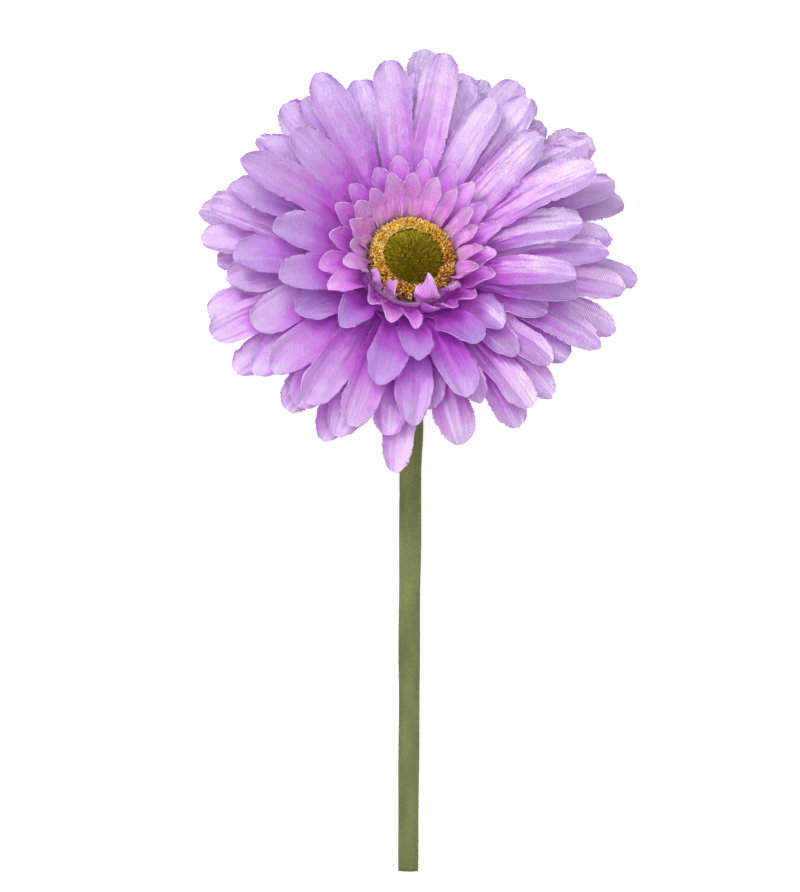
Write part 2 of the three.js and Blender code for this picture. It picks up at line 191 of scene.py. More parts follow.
class Graph:
    """A material's nodes, added and wired one at a time."""

    NOISE_SPAN = (0.3, 0.7)
    OPENNESS_SAMPLES = 4

    def __init__(self, name: str) -> None:
        """Starts an empty material.

        Args:
            name: its name.
        """
        self.material = bpy.data.materials.new(name)
        self.material.use_nodes = True
        self.tree = self.material.node_tree
        self.tree.nodes.clear()

    def node(self, kind: str, inputs: dict[Any, Any] | None = None, **settings: Any) -> bpy.types.Node:
        """Adds a node.

        Args:
            kind: the node's type name, without its ShaderNode prefix.
            inputs: a value or another node's output for each input, by name or number.
            settings: the node's own settings.

        Returns:
            The new node.
        """
        made = self.tree.nodes.new("ShaderNode" + kind)
        for name, value in settings.items():
            setattr(made, name, value)
        for name, value in (inputs or {}).items():
            if isinstance(value, Socket):
                self.tree.links.new(value, made.inputs[name])
            else:
                made.inputs[name].default_value = value
        return made

    def math(self, operation: str, *values: Any) -> Socket:
        """The output of a Math node on these values."""
        return self.node("Math", dict(enumerate(values)), operation=operation).outputs[0]

    def attribute(self, name: str) -> Socket:
        """The number that the mesh holds under this name."""
        return self.node("Attribute", attribute_name=name).outputs["Fac"]

    def place(self) -> Socket:
        """The place on the object."""
        return self.node("TexCoord").outputs["Object"]

    def noise(self, size: float, detail: float = 2.0, place: Socket | None = None) -> Socket:
        """Adds noise.

        Args:
            size: about how large its features are, in metres.
            detail: how many finer layers it has.
            place: where it is read, if not on Object coordinates.

        Returns:
            The noise, from 0 to 1.
        """
        inputs = {"Vector": place or self.place(), "Scale": 1 / size, "Detail": detail}
        return self.node("TexNoise", inputs).outputs[0]

    def swing(self, size: float, detail: float = 2.0, place: Socket | None = None) -> Socket:
        """The same noise, about zero."""
        return self.math("SUBTRACT", self.noise(size, detail, place), 0.5)

    def stretched(self, place: Socket, along: float) -> Socket:
        """A place whose second axis is scaled, so that patterns are drawn out along it."""
        return self.node("Mapping", {"Vector": place, "Scale": (1, along, 1)}).outputs[0]

    def ramp(self, share: Socket, stops: Stops) -> Socket:
        """Adds a colour ramp.

        Args:
            share: the place on it, from 0 to 1.
            stops: each stop's place and colour.

        Returns:
            The colour.
        """
        made = self.node("ValToRGB", {"Fac": share})
        elements = made.color_ramp.elements
        while len(elements) < len(stops):
            elements.new(1.0)
        for element, (place, shade) in zip(elements, stops):
            element.position = place
            element.color = shade
        return made.outputs["Color"]

    def range(self, value: Any, low: float, high: float, to_low: float, to_high: float) -> Socket:
        """A value mapped from one range to another, held at its ends."""
        inputs = {"Value": value, 1: low, 2: high, 3: to_low, 4: to_high}
        return self.node("MapRange", inputs).outputs[0]

    def over(self, noise: Socket, low: float, high: float) -> Socket:
        """Noise whose usual span is mapped to a range."""
        return self.range(noise, *self.NOISE_SPAN, low, high)

    def blend(self, share: Any, first: Any, second: Any) -> Socket:
        """Two colours mixed by a share."""
        inputs = {0: share, 6: first, 7: second}
        return self.node("Mix", inputs, data_type="RGBA", blend_type="MIX").outputs[2]

    def shaded(self, base: Socket, value: Any, hue: Any = 0.5) -> Socket:
        """A colour made lighter or darker by a factor, with its hue turned where that isn't 0.5."""
        return self.node("HueSaturation", {"Hue": hue, "Value": value, "Color": base}).outputs[0]

    def openness(self, reach: float) -> Socket:
        """How free a place is of other surfaces within a reach in metres, from 0 to 1."""
        made = self.node("AmbientOcclusion", {"Distance": reach}, samples=self.OPENNESS_SAMPLES)
        return made.outputs["AO"]

    def bump(
        self, height: Socket, distance: float, strength: float, under: Socket | None = None,
    ) -> Socket:
        """Adds a bump.

        Args:
            height: how far the surface is raised, in units.
            distance: what a unit is, in metres.
            strength: how strongly it shows, from 0 to 1.
            under: the normal that it lies on, if there is one.

        Returns:
            The normal.
        """
        inputs = {"Height": height, "Distance": distance, "Strength": strength}
        if under is not None:
            inputs["Normal"] = under
        return self.node("Bump", inputs).outputs[0]

    def finish(self, **inputs: Any) -> bpy.types.Material:
        """Closes the material with one Principled shader.

        Args:
            inputs: the shader's inputs, named with underscores for spaces.

        Returns:
            The material.
        """
        shader = self.node("BsdfPrincipled", {name.replace("_", " "): v for name, v in inputs.items()})
        self.node("OutputMaterial", {"Surface": shader.outputs[0]})
        return self.material


@dataclass(frozen=True)
class SilkFinish:
    """Dyed satin, saturated orchid at the roots and lavender at the tips, with a diagonal weave and
    painted shade where the petals meet.
    """

    name: str
    stops: Stops

    # The dye, and the painted shade and edge light laid over it
    cloud_fade: float = 0.1
    darkest: float = 0.93
    lightest: float = 1.06
    hue_spread: float = 0.006
    # Painted shade: a bluish grey laid over the outer part of the petals low on the bloom, where they
    # face down away from the light
    cool_shade: Colour = colour(174, 140, 216)
    cool_shade_share: tuple[float, float] = (0.1, 0.8)
    # Painted shade: a richer orchid laid where other surfaces close in, standing for the shade and
    # coloured bounce light between the petals
    crevice_shade: Colour = colour(212, 78, 228)
    crevice_shade_share: float = 0.65
    crevice_shade_reach: float = 6.0
    # Painted contact shadow: a dark purple where two surfaces nearly touch
    seam: Colour = colour(120, 30, 140)
    contact_shade_share: float = 0.6
    contact_shade_reach: float = 1.3
    # Pale frayed fibres together with painted light where it catches the cut edge, in patches along the
    # edges
    pale_fray_and_edge_light: Colour = colour(238, 222, 246)
    fringe_share: float = 0.3
    fringe_size: float = 3.0

    # The weave
    twill_pitch: float = 0.58
    twill_slope: float = 0.62
    twill_wander: float = 1.6
    wander_size: float = 3.0
    worn_size: float = 5.0
    worn_share: tuple[float, float] = (0.4, 1.4)
    yarn_pitch: float = 0.34
    yarn_weight: float = 0.35
    slub_size: float = 0.25
    slub_stretch: float = 0.12
    slub_weight: float = 3.2
    grain_size: float = 0.5
    grain_weight: float = 2.6
    weave_height: float = 1.3
    weave_depth: float = 0.02
    weave_contrast: float = 0.28

    # Crinkles and creases
    crinkle_size: float = 4.0
    crinkle_depth: float = 0.4
    creases: float = 1.2
    crease_length: float = 0.9
    crease_depth: float = 3.2
    # Painted shade and light: the folds' height also moves the dye towards the root's darker colour in
    # their hollows and towards the tip's paler one on their crests
    crease_painted_shade: float = 1.52
    crease_at_tip: float = 0.35

    # The satin's gloss, and the light that it lets through
    roughness: float = 0.4
    rougher_yarn: float = 0.1
    smoother_yarn: float = 0.06
    stretch: float = 0.6
    ior: float = 1.9
    glow: float = 0.45
    glow_depth: float = 0.8

    PETAL_STEP = 40.0
    PRESSED_REACH = (0.0, 0.9)
    COOL_SHADE_REACH = (0.3, 0.8)
    WORN_NOISE = (0.4, 0.62)
    FRINGE_NOISE = (0.48, 0.62)
    CREVICE_SHADE_OPENNESS = (0.2, 0.9)
    CONTACT_SHADE_OPENNESS = (0.15, 0.8)

    def crease(self, graph: Graph) -> Socket:
        """Adds the narrow folds along each petal, strongest near its root.

        Args:
            graph: the material's nodes.

        Returns:
            The folds' height, about zero.
        """
        reach = graph.attribute("reach")
        strip = graph.node("CombineXYZ", {
            0: graph.math("MULTIPLY", graph.attribute("across"), self.creases),
            1: graph.math("MULTIPLY", reach, self.crease_length),
            2: graph.math("MULTIPLY", graph.attribute("tone"), self.PETAL_STEP),
        }).outputs[0]
        pressed = graph.range(reach, *self.PRESSED_REACH, 1.0, self.crease_at_tip)
        return graph.math("MULTIPLY", graph.swing(1.0, detail=2.5, place=strip), pressed)

    def dyed(self, graph: Graph, cloud: Socket, crease: Socket) -> Socket:
        """Adds the dye, which fades unevenly from the root to the tip and differs from petal to petal,
        with painted shade and light in the folds and painted shade on the petals low on the bloom.

        Args:
            graph: the material's nodes.
            cloud: soft noise.
            crease: the folds' height.

        Returns:
            The colour.
        """
        reach, tone = graph.attribute("reach"), graph.attribute("tone")
        faded = graph.math("ADD", reach, graph.over(cloud, -self.cloud_fade, self.cloud_fade))
        # Painted shade in the folds' hollows and painted light on their crests
        faded = graph.math("MULTIPLY_ADD", crease, self.crease_painted_shade, faded)
        value = graph.range(tone, 0, 1, self.darkest, self.lightest)
        hue = graph.range(tone, 0, 1, 0.5 + self.hue_spread, 0.5 - self.hue_spread)
        base = graph.shaded(graph.ramp(faded, self.stops), value, hue)
        # Painted bluish shade on the outer part of each petal, as much as its mark asks
        cool_shaded = graph.range(reach, *self.COOL_SHADE_REACH, *self.cool_shade_share)
        cool_shaded = graph.math("MULTIPLY", graph.attribute("cool_shade"), cool_shaded)
        return graph.blend(cool_shaded, base, self.cool_shade)

    def weave(self, graph: Graph, cloth: Socket) -> Socket:
        """Adds the weave: the twill's diagonal ribs, worn in places, crossed yarns and their slubs.

        Args:
            graph: the material's nodes.
            cloth: the place on the flat cut.

        Returns:
            The threads' height, about zero.
        """
        right, along = graph.node("SeparateXYZ", {0: cloth}).outputs[:2]
        turns = 2 * math.pi / (self.twill_pitch * MM)
        wander = graph.noise(self.wander_size * MM, detail=1.0, place=cloth)
        wander = graph.math("MULTIPLY", wander, self.twill_wander)
        across = graph.math("MULTIPLY_ADD", right, turns, wander)
        ribs = graph.math("SINE", graph.math("MULTIPLY_ADD", along, turns * self.twill_slope, across))
        worn = graph.range(graph.noise(self.worn_size * MM), *self.WORN_NOISE, *self.worn_share)
        ribs = graph.math("MULTIPLY", ribs, worn)

        yarns = 2 * math.pi / (self.yarn_pitch * MM)
        warp = graph.math("SINE", graph.math("MULTIPLY", right, yarns))
        weft = graph.math("SINE", graph.math("MULTIPLY", along, yarns))
        weave = graph.math("MULTIPLY_ADD", graph.math("MULTIPLY", warp, weft), self.yarn_weight, ribs)
        slub = graph.swing(self.slub_size * MM, place=graph.stretched(cloth, self.slub_stretch))
        return graph.math("MULTIPLY_ADD", slub, self.slub_weight, weave)

    def crevice_shaded(self, graph: Graph, base: Socket) -> Socket:
        """Paints shade between the petals, which makes the colour richer there, and a darker contact
        shadow where two of them touch.

        Args:
            graph: the material's nodes.
            base: the colour in the open.

        Returns:
            The colour.
        """
        # Painted shade, laid by how closed in each place is rather than by the dye
        near = graph.openness(self.crevice_shade_reach * MM)
        near = graph.range(near, *self.CREVICE_SHADE_OPENNESS, self.crevice_shade_share, 0.0)
        touching = graph.openness(self.contact_shade_reach * MM)
        touching = graph.range(touching, *self.CONTACT_SHADE_OPENNESS, self.contact_shade_share, 0.0)
        return graph.blend(touching, graph.blend(near, base, self.crevice_shade), self.seam)

    def material(self) -> bpy.types.Material:
        """Builds the material.

        Returns:
            The material.
        """
        graph = Graph(self.name)
        cloth = graph.node("UVMap", uv_map="cloth").outputs[0]
        cloud = graph.noise(self.crinkle_size * MM)
        crease = self.crease(graph)
        weave = self.weave(graph, cloth)
        grain = graph.swing(self.grain_size * MM, detail=1.0)
        grained = graph.math("MULTIPLY_ADD", grain, self.grain_weight, weave)
        height = self.weave_height
        shade = graph.range(grained, -height, height, 1 - self.weave_contrast, 1 + self.weave_contrast)
        base = self.crevice_shaded(graph, graph.shaded(self.dyed(graph, cloud, crease), shade))

        # Pale fray and painted edge light, in patches along the cut edge
        patchy = graph.noise(self.fringe_size * MM, detail=3.0)
        patchy = graph.range(patchy, *self.FRINGE_NOISE, 0.0, self.fringe_share)
        frayed = graph.math("MULTIPLY", graph.math("POWER", graph.attribute("edge"), 2.0), patchy)
        base = graph.blend(frayed, base, self.pale_fray_and_edge_light)

        normal = graph.bump(crease, self.crease_depth * MM, strength=0.9)
        normal = graph.bump(cloud, self.crinkle_depth * MM, strength=0.8, under=normal)
        normal = graph.bump(weave, self.weave_depth * MM, strength=0.9, under=normal)
        dull, bright = self.roughness + self.rougher_yarn, self.roughness - self.smoother_yarn
        return graph.finish(
            Base_Color=base, Roughness=graph.range(weave, -height, height, dull, bright), Normal=normal,
            IOR=self.ior, Specular_IOR_Level=1.0, Anisotropic=self.stretch,
            Tangent=graph.node("Tangent", direction_type="UV_MAP", uv_map="cloth").outputs[0],
            Sheen_Weight=0.1, Sheen_Roughness=0.4, Sheen_Tint=colour(236, 222, 250),
            Subsurface_Weight=self.glow, Subsurface_Radius=(1.0, 0.75, 1.0),
            Subsurface_Scale=self.glow_depth * MM,
        )


@dataclass(frozen=True)
class FibreFinish:
    """Cut fibres: each takes its shade from its own tone, and painted shade darkens it towards its root.
    """

    name: str
    stops: Stops
    root_shade: float = 0.35
    lit_from: float = 0.8
    speck_size: float = 0.3
    speck_shade: tuple[float, float] = (0.88, 1.1)
    roughness: float = 0.6
    specular: float = 0.2
    sheen: float = 0.0

    SPECK_NOISE = (0.35, 0.65)

    def material(self) -> bpy.types.Material:
        """Builds the material.

        Returns:
            The material.
        """
        graph = Graph(self.name)
        # Painted shade: each fibre is darker towards its root, where the fibres crowd
        lit = graph.range(graph.attribute("reach"), 0, self.lit_from, self.root_shade, 1.0)
        speck = graph.noise(self.speck_size * MM, detail=1.0)
        speck = graph.range(speck, *self.SPECK_NOISE, *self.speck_shade)
        base = graph.ramp(graph.attribute("tone"), self.stops)
        return graph.finish(
            Base_Color=graph.shaded(base, graph.math("MULTIPLY", lit, speck)), Roughness=self.roughness,
            Specular_IOR_Level=self.specular, Sheen_Weight=self.sheen, Sheen_Roughness=0.5,
        )


@dataclass(frozen=True)
class FlockFinish:
    """Flock: soft patches, a fine grain and no gloss."""

    name: str
    light: Colour
    middle: Colour
    dark: Colour
    patch_size: float = 9.0
    stretch: float = 3.0
    grain_size: float = 0.35
    grain_weight: float = 0.45
    grain_depth: float = 0.12
    # Painted shade: the colour darkens by this share towards the stem's cut end, between two places along
    # it in millimetres
    cut_end_shade: float = 0.0
    cut_end_shade_span: tuple[float, float] = (-100.0, 20.0)

    def material(self) -> bpy.types.Material:
        """Builds the material.

        Returns:
            The material.
        """
        graph = Graph(self.name)
        place = graph.place()
        drawn_out = graph.stretched(place, 1 / self.stretch)
        patches = graph.noise(self.patch_size * MM, detail=3.0, place=drawn_out)
        grain = graph.swing(self.grain_size * MM)
        mottled = graph.math("MULTIPLY_ADD", grain, self.grain_weight, patches)
        base = graph.ramp(mottled, ((0.3, self.dark), (0.5, self.middle), (0.68, self.light)))
        along = graph.node("SeparateXYZ", {0: place}).outputs[1]
        low, high = (end * MM for end in self.cut_end_shade_span)
        return graph.finish(
            # Painted shade, darker towards the stem's cut end
            Base_Color=graph.shaded(base, graph.range(along, low, high, 1 - self.cut_end_shade, 1.0)),
            Roughness=0.92, Specular_IOR_Level=0.15,
            Normal=graph.bump(grain, self.grain_depth * MM, strength=0.9),
            Sheen_Weight=0.3, Sheen_Roughness=0.5, Sheen_Tint=colour(190, 205, 150),
        )


@dataclass(frozen=True)
class MouldedFinish:
    """Moulded green plastic with a faint grain."""

    name: str
    light: Colour = colour(118, 142, 74)
    dark: Colour = colour(70, 98, 44)
    cloud_size: float = 2.2
    grain_size: float = 0.5
    grain_depth: float = 0.05

    def material(self) -> bpy.types.Material:
        """Builds the material.

        Returns:
            The material.
        """
        graph = Graph(self.name)
        cloud = graph.noise(self.cloud_size * MM, detail=4.0)
        base = graph.ramp(cloud, ((0.35, self.dark), (0.65, self.light)))
        grain = graph.noise(self.grain_size * MM, detail=3.0)
        normal = graph.bump(grain, self.grain_depth * MM, strength=0.7)
        rough = graph.over(cloud, 0.55, 0.4)
        return graph.finish(Base_Color=base, Roughness=rough, Normal=normal, Specular_IOR_Level=0.4)


@dataclass(frozen=True)
class SteelFinish:
    """Drawn steel wire, dull, with a trace of rust where it is cut."""

    name: str
    rust: Colour = colour(120, 104, 92)
    steel: Colour = colour(176, 177, 178)
    cloud_size: float = 0.6

    def material(self) -> bpy.types.Material:
        """Builds the material.

        Returns:
            The material.
        """
        graph = Graph(self.name)
        cloud = graph.noise(self.cloud_size * MM, detail=3.0)
        base = graph.ramp(cloud, ((0.35, self.rust), (0.6, self.steel)))
        return graph.finish(Base_Color=base, Roughness=graph.over(cloud, 0.55, 0.3), Metallic=1.0)


@dataclass(frozen=True)
class PaperFinish:
    """The plain pale floor."""

    name: str
    base: Colour = colour(230, 230, 230)
    glow: float = 0.9
    grain_size: float = 2.0

    def material(self) -> bpy.types.Material:
        """Builds the material.

        Returns:
            The material.
        """
        graph = Graph(self.name)
        in_view = graph.node("LightPath").outputs["Is Camera Ray"]
        return graph.finish(
            Base_Color=self.base, Roughness=graph.over(graph.noise(self.grain_size * MM), 0.9, 0.98),
            Specular_IOR_Level=0.1, Emission_Color=self.base,
            Emission_Strength=graph.math("MULTIPLY", in_view, self.glow),
        )


class Finishes(Enum):
    """The finishes of the flower, by the surface that they dress."""

    LONG_PETALS = SilkFinish("silk_long_petals", (
        (0.0, colour(150, 34, 164)),
        (0.22, colour(180, 70, 198)),
        (0.44, colour(194, 106, 214)),
        (0.66, colour(196, 142, 218)),
        (0.86, colour(200, 170, 222)),
        (1.0, colour(184, 158, 208)),
    ))
    SHORT_PETALS = SilkFinish("silk_short_petals", (
        (0.0, colour(206, 80, 216)),
        (0.25, colour(218, 108, 236)),
        (0.5, colour(230, 140, 246)),
        (0.8, colour(238, 170, 250)),
        (1.0, colour(232, 184, 242)),
    ), fringe_share=0.1, crease_depth=3.6, creases=1.1, crevice_shade=colour(190, 60, 202))
    COLLAR_PETALS = SilkFinish("silk_collar_petals", (
        (0.0, colour(255, 216, 232)),
        (0.16, colour(252, 196, 236)),
        (0.36, colour(238, 146, 242)),
        (0.7, colour(242, 170, 250)),
        (1.0, colour(242, 194, 250)),
    ), fringe_share=0.1, crease_depth=3.6, creases=1.1, crevice_shade=colour(206, 78, 214), crevice_shade_share=0.25)
    DISC_CORE = FlockFinish("disc_core", colour(120, 108, 4), colour(90, 76, 2), colour(56, 40, 0))
    DISC_TUFTS = FibreFinish("disc_tufts", (
        (0.0, colour(84, 64, 0)), (0.4, colour(138, 122, 0)), (0.8, colour(184, 172, 14)),
        (1.0, colour(226, 214, 96)),
    ), root_shade=0.4)
    RING_CORE = FlockFinish("ring_core", colour(150, 92, 20), colour(104, 54, 8), colour(64, 28, 4))
    RING_TUFTS = FibreFinish("ring_tufts", (
        (0.0, colour(98, 40, 6)), (0.3, colour(174, 90, 12)), (0.55, colour(222, 160, 24)),
        (0.8, colour(250, 218, 56)), (1.0, colour(255, 244, 190)),
    ), root_shade=0.12, roughness=0.35, specular=0.5)
    STEM = FlockFinish(
        "stem_flock", colour(156, 168, 105), colour(136, 151, 90), colour(108, 128, 78),
        grain_depth=0.08, cut_end_shade=0.42,
    )
    STEM_FUZZ = FibreFinish("stem_fuzz", (
        (0.0, colour(84, 102, 60)), (0.5, colour(112, 126, 74)), (1.0, colour(146, 156, 98)),
    ), root_shade=0.8, sheen=0.2)
    CALYX = MouldedFinish("calyx_plastic")
    WIRE = SteelFinish("wire_steel")
    FLOOR = PaperFinish("pale_floor")

    def material(self) -> bpy.types.Material:
        """The finish's material, made on its first use."""
        return bpy.data.materials.get(self.value.name) or self.value.material()


def made_object(bm: bmesh.types.BMesh, name: str, finish: Finishes) -> bpy.types.Object:
    """Ends a bmesh in a shown object.

    Args:
        bm: the finished bmesh, in metres. It is freed.
        name: the piece's name.
        finish: its finish.

    Returns:
        The object.
    """
    mesh = bpy.data.meshes.new(name)
    bm.to_mesh(mesh)
    bm.free()
    mesh.materials.append(finish.material())
    mesh.shade_smooth()
    made = bpy.data.objects.new(name, mesh)
    bpy.context.scene.collection.objects.link(made)
    LOG.info("%s: %d faces", name, len(mesh.polygons))
    return made


def place_verts(bm: bmesh.types.BMesh, points: np.ndarray) -> None:
    """Moves every vertex to its point, given in millimetres and in the vertices' order."""
    for vert, point in zip(bm.verts, points * MM):
        vert.co = point


def read_verts(bm: bmesh.types.BMesh) -> np.ndarray:
    """The vertices' places, one row each."""
    return np.array([vert.co[:] for vert in bm.verts])


@dataclass
class Petal:
    """One petal of a tier, as laid out round the hub, with the shape of its tip and its folds.

    Attributes:
        lift: how much its blade climbs beyond the tier's own elevation.
        curl: how far its tip is bent up and in.
        gap: the bearing from it to its nearer neighbour.
        to_next: the bearing from it to the next petal.
        bluntness: how square its tip is, where 2 is round.
        tip_length: the length of its rounded tip, in half widths.
        bow: how far its middle is bent aside.
        cool_shade: how much of the finish's bluish grey painted shade it takes.
        fade: how much sooner than others it reaches the tip's colour.
    """

    bearing: float
    length: float
    width: float
    lift: float
    twist: float
    curl: float = 0.0
    gap: float = 360.0
    to_next: float = 360.0
    bluntness: float = 2.3
    tip_length: float = 1.0
    folds: float = 1.3
    fold_height: float = 0.3
    fold_phase: float = 0.0
    ruffle: float = 0.2
    ruffle_phase: float = 0.0
    bow: float = 0.0
    tone: float = 0.5
    cool_shade: float = 0.0
    fade: float = 0.0


@dataclass
class PetalTier:
    """A die-cut tier of petals: a flat hub on the pin, a collar where they are joined, and the petals.

    A petal in seen is the bearing and reach of its tip round the face, as the eye sees it, then its width
    and its lift where they are odd ones. A petal in placed is its bearing, length and curl, then its
    width: the curl bends its tip in over the disc, or outwards where it is below zero.

    In elevation, droop and cool_shade (a painted shade) the first number is for the top of the bloom and
    the second for the bottom. In width, bluntness and tip_length they are the least and the most that a
    petal draws.

    Attributes:
        level: its place in the stack, from 0 at the back.
        collar: how far out the petals are still joined.
        bend: how far out the cloth has risen to its elevation.
        sweep: how far the petals at the sides are bent down the bloom, as a share of their length.
        vary: the most that a petal's lift differs, either way.
        hub: the radius where the cloth starts to rise.
        overlap: where neighbours are crowded, how wide each is against a width at which they just meet.
        shingle: how far each petal is turned about its length, so that it lies over the next.
        sway: the most that a petal is turned besides, either way.
        crotch: how far along the blade the petals come free of the collar's shape, as a share.
        hug: how far the collar leans in against the ring.
        root: the petal's width where it leaves the collar, as a share of its widest.
    """

    name: str
    finish: Finishes
    level: int
    collar: float
    bend: float
    elevation: tuple[float, float]
    droop: tuple[float, float]
    sweep: float
    cup: float
    width: tuple[float, float]
    vary: float
    seed: int
    seen: tuple[tuple[float, ...], ...]
    placed: tuple[tuple[float, ...], ...] = ()
    hub: float = 12.0
    row_pitch: float = 0.4
    fold_height: float = 0.5
    fray: float = 0.4
    bluntness: tuple[float, float] = (1.75, 2.2)
    tip_length: tuple[float, float] = (1.3, 2.0)
    bow: float = 1.1
    overlap: float = 1.15
    shingle: float = 5.0
    sway: float = 3.0
    crotch: float = 0.13
    hug: float = 0.0
    cool_shade: tuple[float, float] = (0.25, 0.0)
    root: float = 0.5
    cup_from: float = 0.6
    cup_gain: float = 1.5
    petals: list[Petal] = field(default_factory=list)

    WIDEST_AT = 0.55
    MOST_TWIST = 9.0
    SOLVE_ROUNDS = 60
    STEPS = 16
    SILK = 0.18
    LAID = 0.04
    CORNER = 0.6
    HUB_ROWS = (PIN_RADIUS + CLEARANCE, 5.0, 8.5)
    COLLAR_ROWS = (0.0, 0.35, 0.7, 1.0)
    COLUMNS = (-1, -0.98, -0.86, -0.58, -0.28, 0, 0.28, 0.58, 0.86, 0.98, 1)
    LEAST_ROWS = 14
    CUT_EDGE = 0.97
    RIM = 0.08
    HUG_REACH = 9.0
    TWIST_SHARE = 0.6
    FOLD_DRIFT = 0.9
    RUFFLES = 9.0
    FOLDED_FROM = 20.0
    FOLDED_OVER = 60.0
    FOLDED_BLUNTNESS = 1.35
    FOLDED_TIP = 3.1
    FOLDED_TWIST = 45.0
    FRAY_SEED = 1000
    TOOTH = (-0.3, 1.0)
    TIP_TOOTH = (-1.0, 0.6)
    WAVER_STEP = 0.25
    MOST_WAVER = 0.8
    TEETH_WAVE = 0.13
    LAYERS = ("reach", "tone", "edge", "cool_shade", "across")

    def between(self, bearing: Any, ends: tuple[float, float]) -> Any:
        """A tier's value at this bearing, blended from the top of the bloom to the bottom."""
        return mix(ends[0], ends[1], BLOOM.lowness(bearing))

    def risen(self, line: Petal, distance: np.ndarray) -> np.ndarray:
        """Works out how steeply the cloth climbs along a line out from its hub.

        Args:
            line: the line's bearing, length, lift and curl, each a number or one for every distance.
            distance: distances from the hub's edge, in millimetres.

        Returns:
            Its angles above the hub, in radians.
        """
        share = distance / line.length
        bent = self.between(line.bearing, self.elevation) * smooth(distance / self.bend)
        fallen = self.between(line.bearing, self.droop) - line.curl
        return np.radians(bent + line.lift * smooth(share) - fallen * share**2)

    def profile_at(self, line: Petal, distance: np.ndarray) -> tuple[np.ndarray, np.ndarray]:
        """Follows a line of the cloth out from the hub's edge.

        Args:
            line: the line, as above.
            distance: distances from the hub's edge, in millimetres.

        Returns:
            The radius and height there.
        """
        distance = np.asarray(distance)
        middles = (np.arange(self.STEPS) + 0.5) / self.STEPS
        spread = {
            name: np.broadcast_to(getattr(line, name), distance.shape)[..., None]
            for name in ("bearing", "length", "lift", "curl")
        }
        angles = self.risen(replace(line, **spread), distance[..., None] * middles)
        step = distance / self.STEPS
        radius = self.hub + np.cos(angles).sum(-1) * step - self.hugged(distance)
        return radius, self.level * PITCH + np.sin(angles).sum(-1) * step

    def hugged(self, distance: np.ndarray) -> np.ndarray:
        """How far the collar leans in against the pollen ring at distances from the hub's edge."""
        share = np.clip(distance / self.HUG_REACH, 0, 1)
        return self.hug * 4 * share * (1 - share)

    def half_width(
        self, petal: Petal, along: np.ndarray, edge: np.ndarray, radius: np.ndarray,
    ) -> np.ndarray:
        """Works out half of the cut's width at each row, rounded off towards the tip.

        Args:
            petal: the petal.
            along: each row's share of the way from the collar to the tip.
            edge: the distance of the row's ends from the hub's edge.
            radius: the distance of the row from the bloom's axis.

        Returns:
            Half the width in millimetres.
        """
        half = petal.width / 2
        swell = mix(self.root, 1.0, smooth(along / self.WIDEST_AT))
        tip = petal.tip_length * half
        into = np.clip((edge - (petal.length - tip)) / tip, 0, self.corner_at(petal))
        rounded = (1 - into**petal.bluntness) ** (1 / petal.bluntness)
        free = radius * math.tan(math.radians(petal.gap / 2)) * self.overlap
        return np.minimum(half * swell * rounded, np.abs(free))

    def corner_at(self, petal: Petal) -> float:
        """How far into the tip its sides end and its end row begins, as a share of the tip."""
        return (1 - self.CORNER**petal.bluntness) ** (1 / petal.bluntness)

    def set_back(self, petal: Petal, across: np.ndarray) -> np.ndarray:
        """How far the tip's end row lies behind the tip at each column."""
        curve = (1 - (self.CORNER * np.abs(across)) ** petal.bluntness) ** (1 / petal.bluntness)
        return petal.tip_length * petal.width / 2 * (1 - curve)

    def relief(self, petal: Petal, across: np.ndarray, along: np.ndarray) -> np.ndarray:
        """Works out how far the cloth stands off the petal's middle plane: its cup, folds and ruffles.

        Args:
            petal: the petal.
            across: from -1 to 1, from its left edge to its right one.
            along: from 0 at the collar to 1 at the tip.

        Returns:
            The height at each point, in millimetres.
        """
        cupped = self.cup_gain * self.cup * across**2 * smooth(along / self.cup_from)
        standing = smooth(along / 0.25) * (1 - 0.5 * smooth((along - 0.6) / 0.4))
        drift = self.FOLD_DRIFT
        wave = np.cos(math.pi * petal.folds * across + petal.fold_phase + drift * along)
        folded = petal.fold_height * standing * (wave - math.cos(petal.fold_phase + drift))
        edge = np.abs(across) ** 3 * smooth(along / 0.4)
        ruffled = petal.ruffle * edge * np.sin(self.RUFFLES * along + petal.ruffle_phase + across)
        return cupped + folded + ruffled

    def frayed(self, shape: tuple[int, int], noise: np.random.Generator) -> np.ndarray:
        """Tears the cut edge: teeth on a slow waver, along the sides and the tip.

        Args:
            shape: how many rows and columns the petal has.
            noise: the draw.

        Returns:
            How far each row and column is moved outwards, in millimetres.
        """
        rows, columns = shape
        step = np.arange(rows)[:, None]
        teeth = noise.uniform(*self.TOOTH, shape) * np.where(step % 2, 0.8, -1.0)
        stretch = np.sin(self.TEETH_WAVE * step + noise.uniform(0, 2 * math.pi, columns))
        torn = teeth * mix(0.2, 1.0, smooth(0.5 + 2 * stretch))
        waver = np.cumsum(noise.normal(0, self.WAVER_STEP, shape), axis=0)
        waver -= np.linspace(0, 1, rows)[:, None] * waver[-1]
        moved = (torn + np.clip(waver, -self.MOST_WAVER, self.MOST_WAVER)) * self.fray
        moved[-2:] = noise.uniform(*self.TIP_TOOTH, columns) * self.fray
        moved[:, 1], moved[:, -2] = moved[:, 0], moved[:, -1]
        return moved

